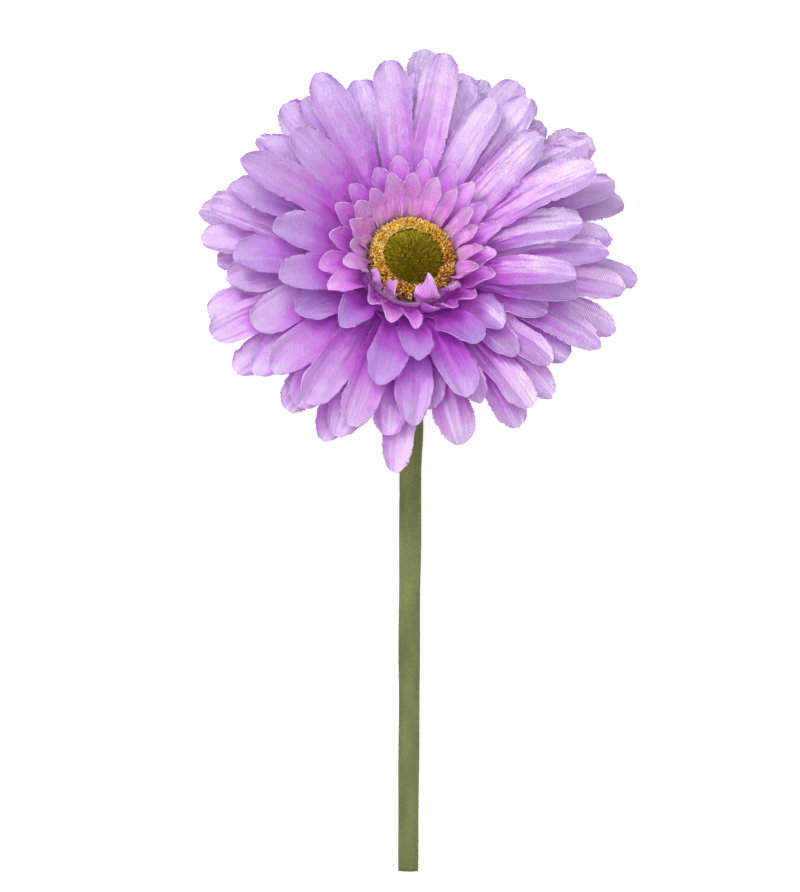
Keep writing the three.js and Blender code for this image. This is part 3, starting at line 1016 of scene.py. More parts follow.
    def blade(
        self, petal: Petal, across: np.ndarray, along: np.ndarray, fray: np.ndarray,
    ) -> tuple[np.ndarray, np.ndarray]:
        """Shapes a petal past its collar.

        Args:
            petal: the petal.
            across: from -1 to 1, from its left edge to its right one.
            along: from 0 at the collar to 1 at the tip.
            fray: how far each point is moved outwards along the cut edge, in millimetres.

        Returns:
            The points in the bloom's frame, and the same points on the flat cut.
        """
        reach = petal.length - self.collar
        ends = self.collar + along * reach - self.set_back(petal, np.ones_like(across)) * along**3
        at_tip = (along * reach > reach - 2 * self.RIM) * np.cos(across * math.pi / 2) ** 0.5
        distance = self.collar + along * reach - self.set_back(petal, across) * along**3 + fray * at_tip
        radius, height = self.profile_at(petal, distance)
        angle = self.risen(petal, distance)
        bearing = math.radians(petal.bearing)
        share = distance / petal.length
        sweep = self.sweep * math.sin(bearing)
        heading = np.arctan(2 * sweep * share)
        twist = np.radians((self.TWIST_SHARE * petal.twist + self.shingle) * smooth(along))

        outward = np.array([math.sin(bearing), math.cos(bearing), 0.0])
        aside = np.array([math.cos(bearing), -math.sin(bearing), 0.0])
        up = np.array([0.0, 0.0, 1.0])
        forward = outward * np.cos(angle)[..., None] + up * np.sin(angle)[..., None]
        facing = -outward * np.sin(angle)[..., None] + up * np.cos(angle)[..., None]
        widthways = aside * np.cos(heading)[..., None] - forward * np.sin(heading)[..., None]

        half = self.half_width(petal, along, ends, radius)
        torn = np.sign(across) * (np.abs(across) > self.CUT_EDGE) * fray * smooth(along / self.crotch)
        offset = across * half + torn
        bowed = sweep * petal.length * share**2 + petal.bow * np.sin(math.pi * along) ** 2
        raised = offset * np.sin(twist) + self.relief(petal, across, along)
        points = (
            outward * radius[..., None] + up * height[..., None] + aside * bowed[..., None]
            + widthways * (offset * np.cos(twist))[..., None] + facing * raised[..., None]
        )
        flat = outward * (self.hub + distance)[..., None] + aside * (bowed + offset)[..., None]
        return points, flat[..., :2]

    def joined(
        self, petal: Petal, before: Petal, across: np.ndarray, distance: np.ndarray,
    ) -> tuple[np.ndarray, np.ndarray]:
        """Shapes the cloth between the hub's edge and the cuts, where neighbours are one piece.

        Args:
            petal: the petal whose share of the collar this is.
            before: the petal before it.
            across: from -1 at the seam with the one before to 1 at the seam with the next.
            distance: the distance from the hub's edge.

        Returns:
            The points in the bloom's frame, and the same points on the flat cut.
        """
        seam = np.abs(across)
        line = replace(
            petal,
            bearing=petal.bearing + np.where(across < 0, before.to_next / 2, petal.to_next / 2) * across,
            length=mix(petal.length, np.where(across < 0, before.length, petal.length), seam),
            lift=petal.lift * (1 - seam),
            curl=petal.curl * (1 - seam),
        )
        radius, height = self.profile_at(line, distance)
        share = distance / line.length
        bowed = self.sweep * np.sin(np.radians(line.bearing)) * line.length * share**2
        points = self.laid(line.bearing, radius, bowed, height)
        return points, self.laid(line.bearing, self.hub + distance, bowed, height)[..., :2]

    def laid(self, bearing: Any, radius: Any, aside: Any, height: Any) -> np.ndarray:
        """Places points round the bloom's axis.

        Args:
            bearing: their bearing, in degrees.
            radius: their distance from the axis.
            aside: how far they are moved aside, clockwise.
            height: their height along the axis.

        Returns:
            The points in the bloom's frame.
        """
        turn = np.radians(bearing)
        right, up = np.sin(turn), np.cos(turn)
        return np.stack([radius * right + aside * up, radius * up - aside * right, height], -1)

    def tip(self, petal: Petal) -> np.ndarray:
        """Finds where the eye sees the petal's tip.

        Args:
            petal: the petal.

        Returns:
            Its distance to the right and up from the face's centre.
        """
        radius, height = self.profile_at(petal, np.array(petal.length))
        bowed = self.sweep * math.sin(math.radians(petal.bearing)) * petal.length
        return BLOOM.seen(self.laid(petal.bearing, radius, bowed, height))

    def solve(self, petal: Petal, bearing: float, reach: float) -> None:
        """Turns and lengthens a petal until the eye sees its tip where it is listed.

        Args:
            petal: the petal.
            bearing: the tip's bearing round the face's centre.
            reach: its distance from that centre.
        """
        for _ in range(self.SOLVE_ROUNDS):
            tip = self.tip(petal)
            turn = math.degrees(math.atan2(tip[0], tip[1]))
            petal.bearing += (bearing - turn + 180) % 360 - 180
            petal.length += reach - float(np.hypot(*tip))

    def lay_out(self) -> None:
        """Makes the tier's petals from its two lists, in order round the hub."""
        draw = Draw(self.seed)
        self.petals = []
        for row in self.seen + self.placed:
            width = mix(self.width[0], self.width[1], draw.share())
            lift, twist = draw.spread(self.vary), draw.spread(self.MOST_TWIST)
            petal = Petal(row[0], row[1] - self.hub, width, lift, twist)
            if row in self.seen:
                petal.width = row[2] if len(row) > 2 else petal.width
                petal.lift = row[3] if len(row) > 3 else petal.lift
                self.solve(petal, row[0], row[1])
            else:
                petal.length, petal.curl = row[1], row[2]
                petal.width = row[3] if len(row) > 3 else petal.width
            self.petals.append(petal)
        self.petals.sort(key=lambda one: one.bearing % 360)
        for petal, after in zip(self.petals, self.petals[1:] + self.petals[:1]):
            petal.to_next = (after.bearing - petal.bearing) % 360
        looks = np.random.default_rng(self.seed)
        for i, petal in enumerate(self.petals):
            petal.gap = min(petal.to_next, self.petals[i - 1].to_next)
            self.give_looks(petal, looks)

    def give_looks(self, petal: Petal, looks: np.random.Generator) -> None:
        """Draws the shape of a petal's tip, its folds and its shade.

        Args:
            petal: the petal.
            looks: the draw.
        """
        pinched = min(1.0, max(0.0, petal.curl - self.FOLDED_FROM) / self.FOLDED_OVER)
        petal.bluntness = mix(looks.uniform(*self.bluntness), self.FOLDED_BLUNTNESS, pinched)
        petal.tip_length = mix(looks.uniform(*self.tip_length), self.FOLDED_TIP, pinched)
        petal.twist += self.FOLDED_TWIST * pinched + looks.uniform(-1, 1) * self.sway
        petal.folds = looks.uniform(0.8, 1.9)
        petal.fold_height = self.fold_height * looks.uniform(0.25, 1.0)
        petal.fold_phase = looks.uniform(0, 2 * math.pi)
        petal.ruffle = looks.uniform(0.1, 0.5)
        petal.ruffle_phase = looks.uniform(0, 2 * math.pi)
        petal.bow = self.bow * looks.uniform(-1, 1)
        petal.tone = looks.uniform(0, 1)
        low = BLOOM.lowness(petal.bearing)
        # Painted shade: the lower a petal sits on the bloom, the more of the bluish shade it takes
        petal.cool_shade = float(np.clip(mix(*self.cool_shade, low) + looks.normal(0, 0.15), 0, 1))
        petal.fade = mix(0.06, -0.16, low)

    def petal_mesh(
        self, bm: bmesh.types.BMesh, petal: Petal, before: Petal, noise: np.random.Generator,
    ) -> None:
        """Adds one petal with its share of the collar and the hub, as a grid that is laid in its place.

        Args:
            bm: the tier's bmesh.
            petal: the petal.
            before: the one before it round the hub.
            noise: the draw for its frayed edge.
        """
        columns = np.array(self.COLUMNS, float)
        blade_length = petal.length - self.collar
        rows = max(self.LEAST_ROWS, round(blade_length / self.row_pitch))
        shares = np.linspace(0, 1, rows)[1:]
        shares = np.append(shares[:-1], [1 - self.RIM / blade_length, 1.0])
        in_collar = np.array(self.COLLAR_ROWS) * self.collar
        count = len(self.HUB_ROWS) + len(in_collar) + rows
        grid = bmesh.ops.create_grid(bm, x_segments=len(columns) - 1, y_segments=count - 1, size=1.0)
        verts = sorted(grid["verts"], key=lambda vert: (round(vert.co.y, 6), vert.co.x))

        across = np.tile(columns, (rows, 1))
        along = np.tile(shares[:, None], (1, len(columns)))
        points, flat = self.blade(petal, across, along, self.frayed(along.shape, noise))
        held, held_flat = self.joined(petal, before, across, self.collar + along * blade_length)
        free = smooth(along / self.crotch)[..., None]
        points, flat = mix(held, points, free), mix(held_flat, flat, free)

        ring = np.tile(columns, (len(in_collar), 1))
        up_collar = np.tile(in_collar[:, None], (1, len(columns)))
        collar, collar_flat = self.joined(petal, before, ring, up_collar)
        to_seam = np.where(columns < 0, before.to_next, petal.to_next) / 2
        turn = np.radians(petal.bearing + to_seam * columns)
        round_hub = np.stack([np.sin(turn), np.cos(turn)], -1)
        hub_flat = np.array([radius * round_hub for radius in self.HUB_ROWS])
        hub = np.concatenate([hub_flat, np.full(hub_flat.shape[:2] + (1,), self.level * PITCH)], -1)

        world = BLOOM.to_row(np.concatenate([hub, collar, points]))
        world[..., 2] = np.maximum(world[..., 2], self.SILK / 2 + self.LAID)
        cut = np.concatenate([hub_flat, collar_flat, flat]).reshape(-1, 2)
        zone = np.concatenate([np.zeros((count - rows, len(columns))), along]).ravel()
        edge = (np.abs(np.tile(columns, (count, 1))).ravel() > self.CUT_EDGE) * (zone > self.crotch / 2)
        edge = np.maximum(edge, zone > shares[-3] + 1e-6)

        layers = [bm.verts.layers.float[name] for name in self.LAYERS]
        place: dict[bmesh.types.BMVert, np.ndarray] = {}
        for i, (vert, point) in enumerate(zip(verts, world.reshape(-1, 3) * MM)):
            vert.co = point
            reach, column = zone[i] * (1 + petal.fade), columns[i % len(columns)]
            for layer, mark in zip(layers, (reach, petal.tone, edge[i], petal.cool_shade, column)):
                vert[layer] = mark
            place[vert] = cut[i] * MM
        uv = bm.loops.layers.uv["cloth"]
        for face in {face for vert in verts for face in vert.link_faces}:
            for loop in face.loops:
                loop[uv].uv = place[loop.vert]

    def build(self) -> None:
        """Builds the tier and dresses it."""
        self.lay_out()
        bm = bmesh.new()
        for name in self.LAYERS:
            bm.verts.layers.float.new(name)
        bm.loops.layers.uv.new("cloth")
        noise = np.random.default_rng(self.seed + self.FRAY_SEED)
        for i, petal in enumerate(self.petals):
            self.petal_mesh(bm, petal, self.petals[i - 1], noise)
        bmesh.ops.remove_doubles(bm, verts=bm.verts[:], dist=WELD)
        bmesh.ops.recalc_face_normals(bm, faces=bm.faces[:])
        out = Vector(BLOOM.axes()[2])
        if sum(face.normal.dot(out) * face.calc_area() for face in bm.faces) < 0:
            bmesh.ops.reverse_faces(bm, faces=bm.faces[:])

        made = made_object(bm, self.name, self.finish)
        thick = made.modifiers.new("silk", "SOLIDIFY")
        thick.thickness = self.SILK * MM
        thick.offset = 0.0
        thick.use_even_offset = False
        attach(made, "root")
        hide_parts(self.name.replace("silk_", ""))


LONG = {"finish": Finishes.LONG_PETALS}
SMALL = {
    "fold_height": 0.35, "row_pitch": 0.38, "fray": 0.3, "bow": 0.6, "shingle": 18, "crotch": 0.06,
    "bluntness": (1.7, 2.1),
}
SHORT = {**SMALL, "finish": Finishes.SHORT_PETALS, "cup_from": 0.25}
COLLAR = {**SMALL, "finish": Finishes.COLLAR_PETALS, "cup_from": 0.2}


def petal_tiers() -> list[PetalTier]:
    """Lists the seven tiers.

    Returns:
        The tiers, from the back of the bloom to its front.
    """
    return [
        PetalTier(
            "silk_petals_back", **LONG, level=0, collar=1.6, bend=5, elevation=(6, -4), droop=(12, 12),
            sweep=0.11, cup=0.5, width=(8.8, 9.8), vary=1.2, seed=11,
            seen=(
                (3.8, 53.1), (21.9, 48.6, 7), (37.3, 50.3, 6.6), (56.6, 54.6), (75, 55.2, 8.4),
                (95.3, 57, 8.4), (109.8, 54.4), (122, 46.8), (134.8, 49.7), (147.5, 50.3),
                (165.3, 48.6, 11.4), (184.6, 53.9), (206, 51.1), (219.5, 49.6), (237.5, 52.9),
                (254.7, 53.4), (269.5, 49.3), (282.7, 54.9), (295.3, 47.1), (308, 49.6, 6.6),
                (321, 46), (342, 43.5, 9.8, -20),
            ),
        ),
        PetalTier(
            "silk_petals_mid_back", **LONG, level=1, collar=1.6, bend=4.5, elevation=(11, 4),
            droop=(8, 13), sweep=0.12, cup=0.6, width=(8.8, 9.8), vary=1.2, seed=23,
            seen=(
                (16, 48.6), (30, 49), (44, 47.5), (53.5, 52.6), (69, 52), (84.3, 50.8), (98.3, 54.1),
                (115, 52.4), (127, 43.8), (141.2, 47.8), (157, 38), (173, 38), (188, 45), (203, 48.7),
                (218, 47), (234, 49), (249, 54.1), (262, 46), (275.5, 53.4), (291, 50), (306, 46.8),
                (319.3, 49.8), (336, 41), (355, 48),
            ),
        ),
        PetalTier(
            "silk_petals_middle", **LONG, level=2, collar=1.8, bend=4, elevation=(16, 13),
            droop=(6, 17), sweep=0.12, cup=0.7, width=(9, 10), vary=1.2, seed=37, shingle=14,
            seen=(
                (10, 48), (31.1, 52.1), (44.5, 47.1), (56.5, 53.2), (69.5, 54.9), (88, 49.8),
                (111.5, 36.7), (132.7, 36), (155, 40), (180, 42), (200, 45), (216, 45.1), (231, 45.1),
                (247.2, 43.5), (263.8, 47.1, 10.6), (285.8, 52.9), (303, 47), (320.3, 50.8), (334, 44),
                (353, 47),
            ),
        ),
        PetalTier(
            "silk_petals_mid_front", **LONG, level=3, collar=1.9, bend=3.8, elevation=(22, 27),
            droop=(6, 24), sweep=0.12, cup=0.8, width=(9.2, 10), vary=1.2, seed=31,
            cool_shade=(0.3, 0.6),
            seen=(
                (1, 47), (18, 47), (36, 50), (56, 49), (78, 44), (102, 43), (127, 28.7, 10.5),
                (158, 37.3), (195, 32.7, 9.8), (245, 32), (271, 45), (292, 49), (309, 48), (326, 49),
                (343, 47.3),
            ),
        ),
        PetalTier(
            "silk_petals_front", **LONG, level=4, collar=2, bend=3.5, elevation=(31, 45),
            droop=(6, 32), sweep=0.13, cup=0.9, width=(9, 10), vary=1.4, seed=41,
            cool_shade=(0.3, 1.0), shingle=14,
            seen=(
                (353, 50.8), (9, 52.6), (27, 45.5), (46, 45.3), (63, 51.9), (96.5, 41.5),
                (142.3, 26.7, 11), (177.3, 25.2), (227, 24.7), (262, 34), (283, 36.2), (300.4, 50.1),
                (317, 44.6), (332.6, 52.9, 10),
            ),
        ),
        PetalTier(
            "silk_petals_short_outer", **SHORT, level=5, hub=11.8, collar=2.2, bend=2,
            elevation=(50, 64), droop=(4, 30), sweep=0.05, cup=0.5, width=(6.4, 7.4), vary=3.5, seed=53,
            overlap=1.05, cup_gain=2.6, tip_length=(2.1, 2.9), sway=9,
            seen=(
                (339, 24.9), (352.3, 26.4), (8, 25.7), (24, 26.2), (39, 25), (54, 23.4), (69, 24.4),
                (86, 21.4), (287, 21.8), (305.5, 23.7), (320.8, 24.4),
            ),
            placed=(
                (110, 15, 20), (130, 12, 10), (150, 12, 34), (167, 12, 55, 5.4), (185, 14.5, -10, 5.6),
                (204, 15, -6, 6.4), (223, 14, 10), (246, 20, -32, 6.4), (260, 19.5, -30, 7),
            ),
        ),
        PetalTier(
            "silk_petals_short_inner", **COLLAR, level=6, hub=11.3, collar=2.4, bend=1.4,
            elevation=(68, 72), droop=(3, 3), sweep=0.03, cup=0.3, width=(5.8, 6.8), vary=1.5, seed=67,
            overlap=1.0, cup_gain=4.0, hug=1.3, tip_length=(2.6, 3.3), sway=12,
            seen=(
                (331, 20.4), (346.6, 22.4), (0.6, 21.8, 7), (17, 21.6), (32.4, 21.1), (50, 20),
                (286, 16.1), (302, 18.4), (317, 20),
            ),
            placed=(
                (70, 13, 0), (90, 13, 2, 4.4), (112, 13.5, 8), (138, 12.5, 40), (168, 17, 108, 7.4),
                (214, 13, 75, 6.8), (234, 13.5, 35, 6), (255, 17, -34, 6),
            ),
        ),
    ]


@dataclass
class Strands:
    """Many short fibres as one mesh: one fibre is shaped, doubled and then laid where each one grows."""

    name: str
    doublings: int
    sides: int = 4
    taper: float = 0.6

    SKEW = (0.31, 0.52, 0.79)

    def count(self) -> int:
        """How many fibres there are."""
        return 2**self.doublings

    def one(self) -> bmesh.types.BMesh:
        """Shapes one fibre of unit size, standing on the origin.

        Returns:
            Its bmesh.
        """
        bm = bmesh.new()
        bmesh.ops.create_circle(bm, segments=self.sides, radius=1.0, cap_ends=False)
        grown = bmesh.ops.extrude_edge_only(bm, edges=bm.edges[:])["geom"]
        top = [part for part in grown if isinstance(part, bmesh.types.BMVert)]
        rim = [part for part in grown if isinstance(part, bmesh.types.BMEdge)]
        bmesh.ops.translate(bm, verts=top, vec=(0, 0, 1))
        bmesh.ops.contextual_create(bm, geom=rim)
        bmesh.ops.recalc_face_normals(bm, faces=bm.faces[:])
        return bm

    def build(
        self, roots: np.ndarray, ways: np.ndarray, lengths: np.ndarray, radii: np.ndarray,
        bends: np.ndarray, tones: np.ndarray, finish: Finishes,
    ) -> bpy.types.Object:
        """Lays out the fibres.

        Args:
            roots: where each fibre starts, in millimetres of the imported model's frame.
            ways: its direction, of length 1.
            lengths: its length.
            radii: its radius at the root.
            bends: how far its tip is bent aside, as a share of its length.
            tones: the shade that its finish takes, from 0 to 1.
            finish: the fibres' finish.

        Returns:
            The fibres' object.
        """
        bm = self.one()
        shape = read_verts(bm)
        for _ in range(self.doublings):
            bmesh.ops.duplicate(bm, geom=bm.verts[:] + bm.edges[:] + bm.faces[:])
        aside = normalised(np.cross(ways, np.array(self.SKEW)))
        across = np.cross(ways, aside)
        up = shape[None, :, 2, None]
        girth = radii[:, None, None] * (1 - self.taper * up)
        points = (
            roots[:, None, :] + ways[:, None, :] * lengths[:, None, None] * up
            + bends[:, None, :] * lengths[:, None, None] * up**2
            + aside[:, None, :] * girth * shape[None, :, 0, None]
            + across[:, None, :] * girth * shape[None, :, 1, None]
        )
        place_verts(bm, points.reshape(-1, 3))
        tone_layer = bm.verts.layers.float.new("tone")
        reach_layer = bm.verts.layers.float.new("reach")
        shades = np.repeat(tones, len(shape))
        reaches = np.tile(shape[:, 2], len(roots))
        for vert, shade, reach in zip(bm.verts, shades, reaches):
            vert[tone_layer] = shade
            vert[reach_layer] = reach
        return made_object(bm, self.name, finish)


def spun(profile: Sequence[tuple[float, float]], sides: int, closed: bool) -> bmesh.types.BMesh:
    """Spins a profile round the bloom's axis and puts it where the bloom is.

    Args:
        profile: points of radius and height, in order from the bottom of the shape up its outside.
        sides: how many steps the turn has.
        closed: whether the last point is joined to the first.

    Returns:
        The closed skin.
    """
    bm = bmesh.new()
    verts = [bm.verts.new((radius, 0, height)) for radius, height in profile]
    for first, second in zip(verts, verts[1:] + verts[:1] if closed else verts[1:]):
        bm.edges.new((first, second))
    bmesh.ops.spin(
        bm, geom=bm.verts[:] + bm.edges[:], cent=(0, 0, 0), axis=(0, 0, 1), angle=2 * math.pi,
        steps=sides, use_merge=True, use_duplicate=False,
    )
    bmesh.ops.remove_doubles(bm, verts=bm.verts[:], dist=WELD)
    bmesh.ops.dissolve_degenerate(bm, edges=bm.edges[:], dist=WELD)
    bmesh.ops.recalc_face_normals(bm, faces=bm.faces[:])
    to_bloom_place(bm)
    return bm


def to_bloom_place(bm: bmesh.types.BMesh) -> None:
    """Puts a bmesh that was made in the bloom's frame where the bloom is, in metres."""
    place_verts(bm, BLOOM.to_row(read_verts(bm)))


@dataclass
class Disc:
    """The flocked green dome in the middle, on the pin that threads the tiers."""

    radius: float = 7.3
    base: float = DISC_BASE
    shoulder: float = 1.2
    top: float = 13.1
    tuft_length: float = 1.35
    tuft_radius: float = 0.1
    tuft_cover: float = 0.5
    tuft_root: float = 0.05
    roundness: float = 0.8

    SIDES = 48
    CROWN_STEPS = 12
    TUFT_DOUBLINGS = 12
    TUFT_SEED = 7
    PAINTED_GLINT_SHARE = 0.015

    def rise(self) -> float:
        """How far the crown rises above the shoulder, under its tufts."""
        return self.top - self.base - self.shoulder - self.tuft_cover

    def profile(self) -> list[tuple[float, float]]:
        """Draws the section of the pin, the dome's flat underside and its crown.

        Returns:
            Its points of radius and height.
        """
        pin = [(0.0, PIN_END), (PIN_RADIUS, PIN_END), (PIN_RADIUS, self.base)]
        points = pin + [(self.radius, self.base)]
        for step in range(1, self.CROWN_STEPS):
            angle = math.pi / 2 * step / self.CROWN_STEPS
            points.append((
                self.radius * math.cos(angle) ** self.roundness,
                self.base + self.shoulder + self.rise() * math.sin(angle),
            ))
        return points + [(0.0, self.top - self.tuft_cover)]

    def tufts(self) -> bpy.types.Object:
        """Builds the flock, on an even spiral over the crown.

        Returns:
            The flock's object.
        """
        strands = Strands("disc_tufts", doublings=self.TUFT_DOUBLINGS, taper=0.55)
        count = strands.count()
        noise = np.random.default_rng(self.TUFT_SEED)
        place = (np.arange(count) + 0.5) / count
        angle = np.arange(count) * math.pi * (3 - math.sqrt(5))
        tilt = np.arccos(1 - place * 0.98)
        lean = tilt * (0.8 + noise.normal(0, 0.16, count))
        ways = np.stack([np.cos(angle) * np.sin(lean), np.sin(angle) * np.sin(lean), np.cos(lean)], -1)
        ways = normalised(ways + noise.normal(0, 0.2, ways.shape))
        out = self.radius * 0.98 * np.sin(tilt) ** 0.9
        height = self.base + self.shoulder - self.tuft_root + self.rise() * np.cos(tilt)
        roots = np.stack([out * np.cos(angle), out * np.sin(angle), height], -1)
        # Painted light and shade: tones lighter towards the crown's upper left and darker to its lower
        # right, and a few fibres painted pale as glints
        sunlit = (0.18 * roots[:, 1] - 0.1 * roots[:, 0]) / self.radius
        shade = 0.42 + sunlit + noise.normal(0, 0.2, count)
        shade[noise.uniform(size=count) > 1 - self.PAINTED_GLINT_SHARE] = 1.0
        return strands.build(
            BLOOM.to_row(roots), ways @ BLOOM.axes(),
            self.tuft_length * noise.uniform(0.6, 1.15, count),
            self.tuft_radius * noise.uniform(0.7, 1.3, count),
            noise.normal(0, 0.15, ways.shape), np.clip(shade, 0, 1), Finishes.DISC_TUFTS,
        )

    def build(self) -> None:
        """Builds the dome and its tufts."""
        bm = spun(self.profile(), self.SIDES, closed=False)
        core = made_object(bm, "disc_core", Finishes.DISC_CORE)
        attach(core, "root")
        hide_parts("disc")
        tufts = self.tufts()
        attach(tufts, "root")


@dataclass
class PollenRing:
    """The ring of clipped golden fibres round the disc."""

    inner: float = 8.1
    outer: float = 10.5
    base: float = DISC_BASE
    height: float = 4.6
    tuft_length: float = 1.0
    tuft_radius: float = 0.19
    tuft_cover: float = 0.6

    SIDES = 64
    TUFT_DOUBLINGS = 12
    TUFT_SEED = 9
    PAINTED_GLINT_SHARE = 0.03
    WALL_FROM = 0.78
    WALL_DROP = 18.0

    def profile(self) -> list[tuple[float, float]]:
        """Draws the ring's section, once round.

        Returns:
            Its points of radius and height.
        """
        low, high = self.base, self.base + self.height - self.tuft_cover
        return [
            (self.inner, low), (self.outer - 0.4, low), (self.outer - 0.15, low + 1.4),
            (self.outer - 0.35, low + 2.9), (self.outer - 1.0, high), (self.inner + 0.9, high),
            (self.inner + 0.15, high - 0.9),
        ]

    def tufts(self) -> bpy.types.Object:
        """Builds the fibres, over the ring's crown and down its outside.

        Returns:
            The fibres' object.
        """
        strands = Strands("pollen_tufts", doublings=self.TUFT_DOUBLINGS, taper=0.35)
        count = strands.count()
        noise = np.random.default_rng(self.TUFT_SEED)
        angle = noise.uniform(0, 2 * math.pi, count)
        section = noise.uniform(0, 1, count)
        lean = np.radians(mix(-60, 78, section) + noise.normal(0, 14, count))[:, None]
        middle = (self.inner + self.outer) / 2
        half = (self.outer - self.inner) / 2 - 0.15
        out = middle + half * np.sin(np.radians(mix(-85, 88, section)))
        down = np.where(section > self.WALL_FROM, (section - self.WALL_FROM) * self.WALL_DROP, 0)
        drop = down * noise.uniform(0, 1, count)
        crown = self.base + self.height - 0.75 + 0.35 * np.cos(np.radians(mix(-75, 80, section)))
        radial = np.stack([np.cos(angle), np.sin(angle), np.zeros(count)], -1)
        upright = np.array([0, 0, 1.0])
        roots = radial * out[:, None] + upright * (crown - drop)[:, None]
        ways = radial * np.sin(lean) + upright * np.cos(lean)
        ways = normalised(ways + noise.normal(0, 0.28, ways.shape))
        # Painted light and shade: tones lighter towards the upper left, darker for fibres lower down the
        # outside, and a few painted pale as glints
        sunlit = 0.17 * radial[:, 1] - 0.1 * radial[:, 0]
        shade = np.clip(0.5 + sunlit + noise.normal(0, 0.24, count) - 0.12 * drop, 0, 0.95)
        shade[noise.uniform(size=count) > 1 - self.PAINTED_GLINT_SHARE] = 1.0
        return strands.build(
            BLOOM.to_row(roots), ways @ BLOOM.axes(),
            self.tuft_length * noise.uniform(0.35, 1.2, count),
            self.tuft_radius * noise.uniform(0.6, 1.3, count),
            noise.normal(0, 0.12, ways.shape), shade, Finishes.RING_TUFTS,
        )

    def build(self) -> None:
        """Builds the ring and its tufts."""
        bm = spun(self.profile(), self.SIDES, closed=True)
        core = made_object(bm, "pollen_core", Finishes.RING_CORE)
        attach(core, "root")
        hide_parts("pollen_ring")
        tufts = self.tufts()
        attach(tufts, "root")


@dataclass
class Calyx:
    """The moulded cup behind the petals, covered in rows of pointed bracts."""

    radius: float = 9.6
    depth: float = 11.5
    socket_depth: float = 3.2
    socket: float = 3.35
    socket_wall: float = 0.9
    bracts: int = 16
    bract_width: float = 1.12
    bract_thickness: float = 0.45

    SIDES = 64
    TOP = -CLOTH / 2 - CLEARANCE

    def wall(self) -> list[tuple[float, float]]:
        """Draws the cup's outside, from the stem up to the petals.

        Returns:
            Its points of radius and height.
        """
        low = -self.depth
        return [
            (self.socket + self.socket_wall, low), (5.6, low + 2.2), (7.4, low + 4.8), (8.6, low + 7.4),
            (self.radius - 0.5, self.TOP - 1.4), (self.radius - 0.8, self.TOP),
        ]

    def profile(self) -> list[tuple[float, float]]:
        """Draws the cup's closed section: the socket, the outside, then the bore for the pin.

        Returns:
            Its points of radius and height.
        """
        bore, bottom = PIN_RADIUS + CLEARANCE, PIN_END - CLEARANCE
        seat = -self.depth + self.socket_depth
        return [
            (0.0, seat), (self.socket, seat), (self.socket, -self.depth), *self.wall(),
            (bore, self.TOP), (bore, bottom), (0.0, bottom),
        ]

    def bract_row(
        self, bm: bmesh.types.BMesh, start: float, end: float, shift: float, proud: float,
    ) -> None:
        """Adds one row of pointed bracts that lie on the cup's wall.

        Args:
            bm: the bracts' bmesh, in the bloom's frame.
            start: the row's roots, as a share of the way up the wall.
            end: its tips.
            shift: how far the row is turned, in bracts.
            proud: how far the tips stand off the wall.
        """
        wall = np.array(self.wall())
        heights = np.linspace(0, 1, len(wall))
        for k in range(self.bracts):
            made = bmesh.ops.create_grid(bm, x_segments=6, y_segments=9, size=0.5)
            for vert in made["verts"]:
                across, along = vert.co.x * 2, vert.co.y + 0.5
                share = mix(start, end, along)
                radius = np.interp(share, heights, wall[:, 0])
                height = np.interp(share, heights, wall[:, 1])
                half = math.pi / self.bracts * self.bract_width * (1 - along**2.6) ** 0.75
                angle = 2 * math.pi * (k + shift) / self.bracts + across * half
                out = radius + (0.15 + proud * along**2 + 0.3 * (1 - across**2) * (1 - along))
                vert.co = (out * math.cos(angle), out * math.sin(angle), height)

    def build(self) -> None:
        """Builds the cup and its bracts."""
        bm = spun(self.profile(), self.SIDES, closed=False)
        cup = made_object(bm, "calyx_cup", Finishes.CALYX)
        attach(cup, "root")
        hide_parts("calyx")

        bm = bmesh.new()
        self.bract_row(bm, start=0.02, end=0.55, shift=0.0, proud=0.35)
        self.bract_row(bm, start=0.25, end=0.82, shift=0.5, proud=0.3)
        self.bract_row(bm, start=0.5, end=1.0, shift=0.0, proud=0.25)
        bmesh.ops.remove_doubles(bm, verts=bm.verts[:], dist=WELD)
        bmesh.ops.recalc_face_normals(bm, faces=bm.faces[:])
        to_bloom_place(bm)
        bracts = made_object(bm, "calyx_bracts", Finishes.CALYX)
        thick = bracts.modifiers.new("wall", "SOLIDIFY")
        thick.thickness = self.bract_thickness * MM
        thick.offset = 0.0
        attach(bracts, "root")


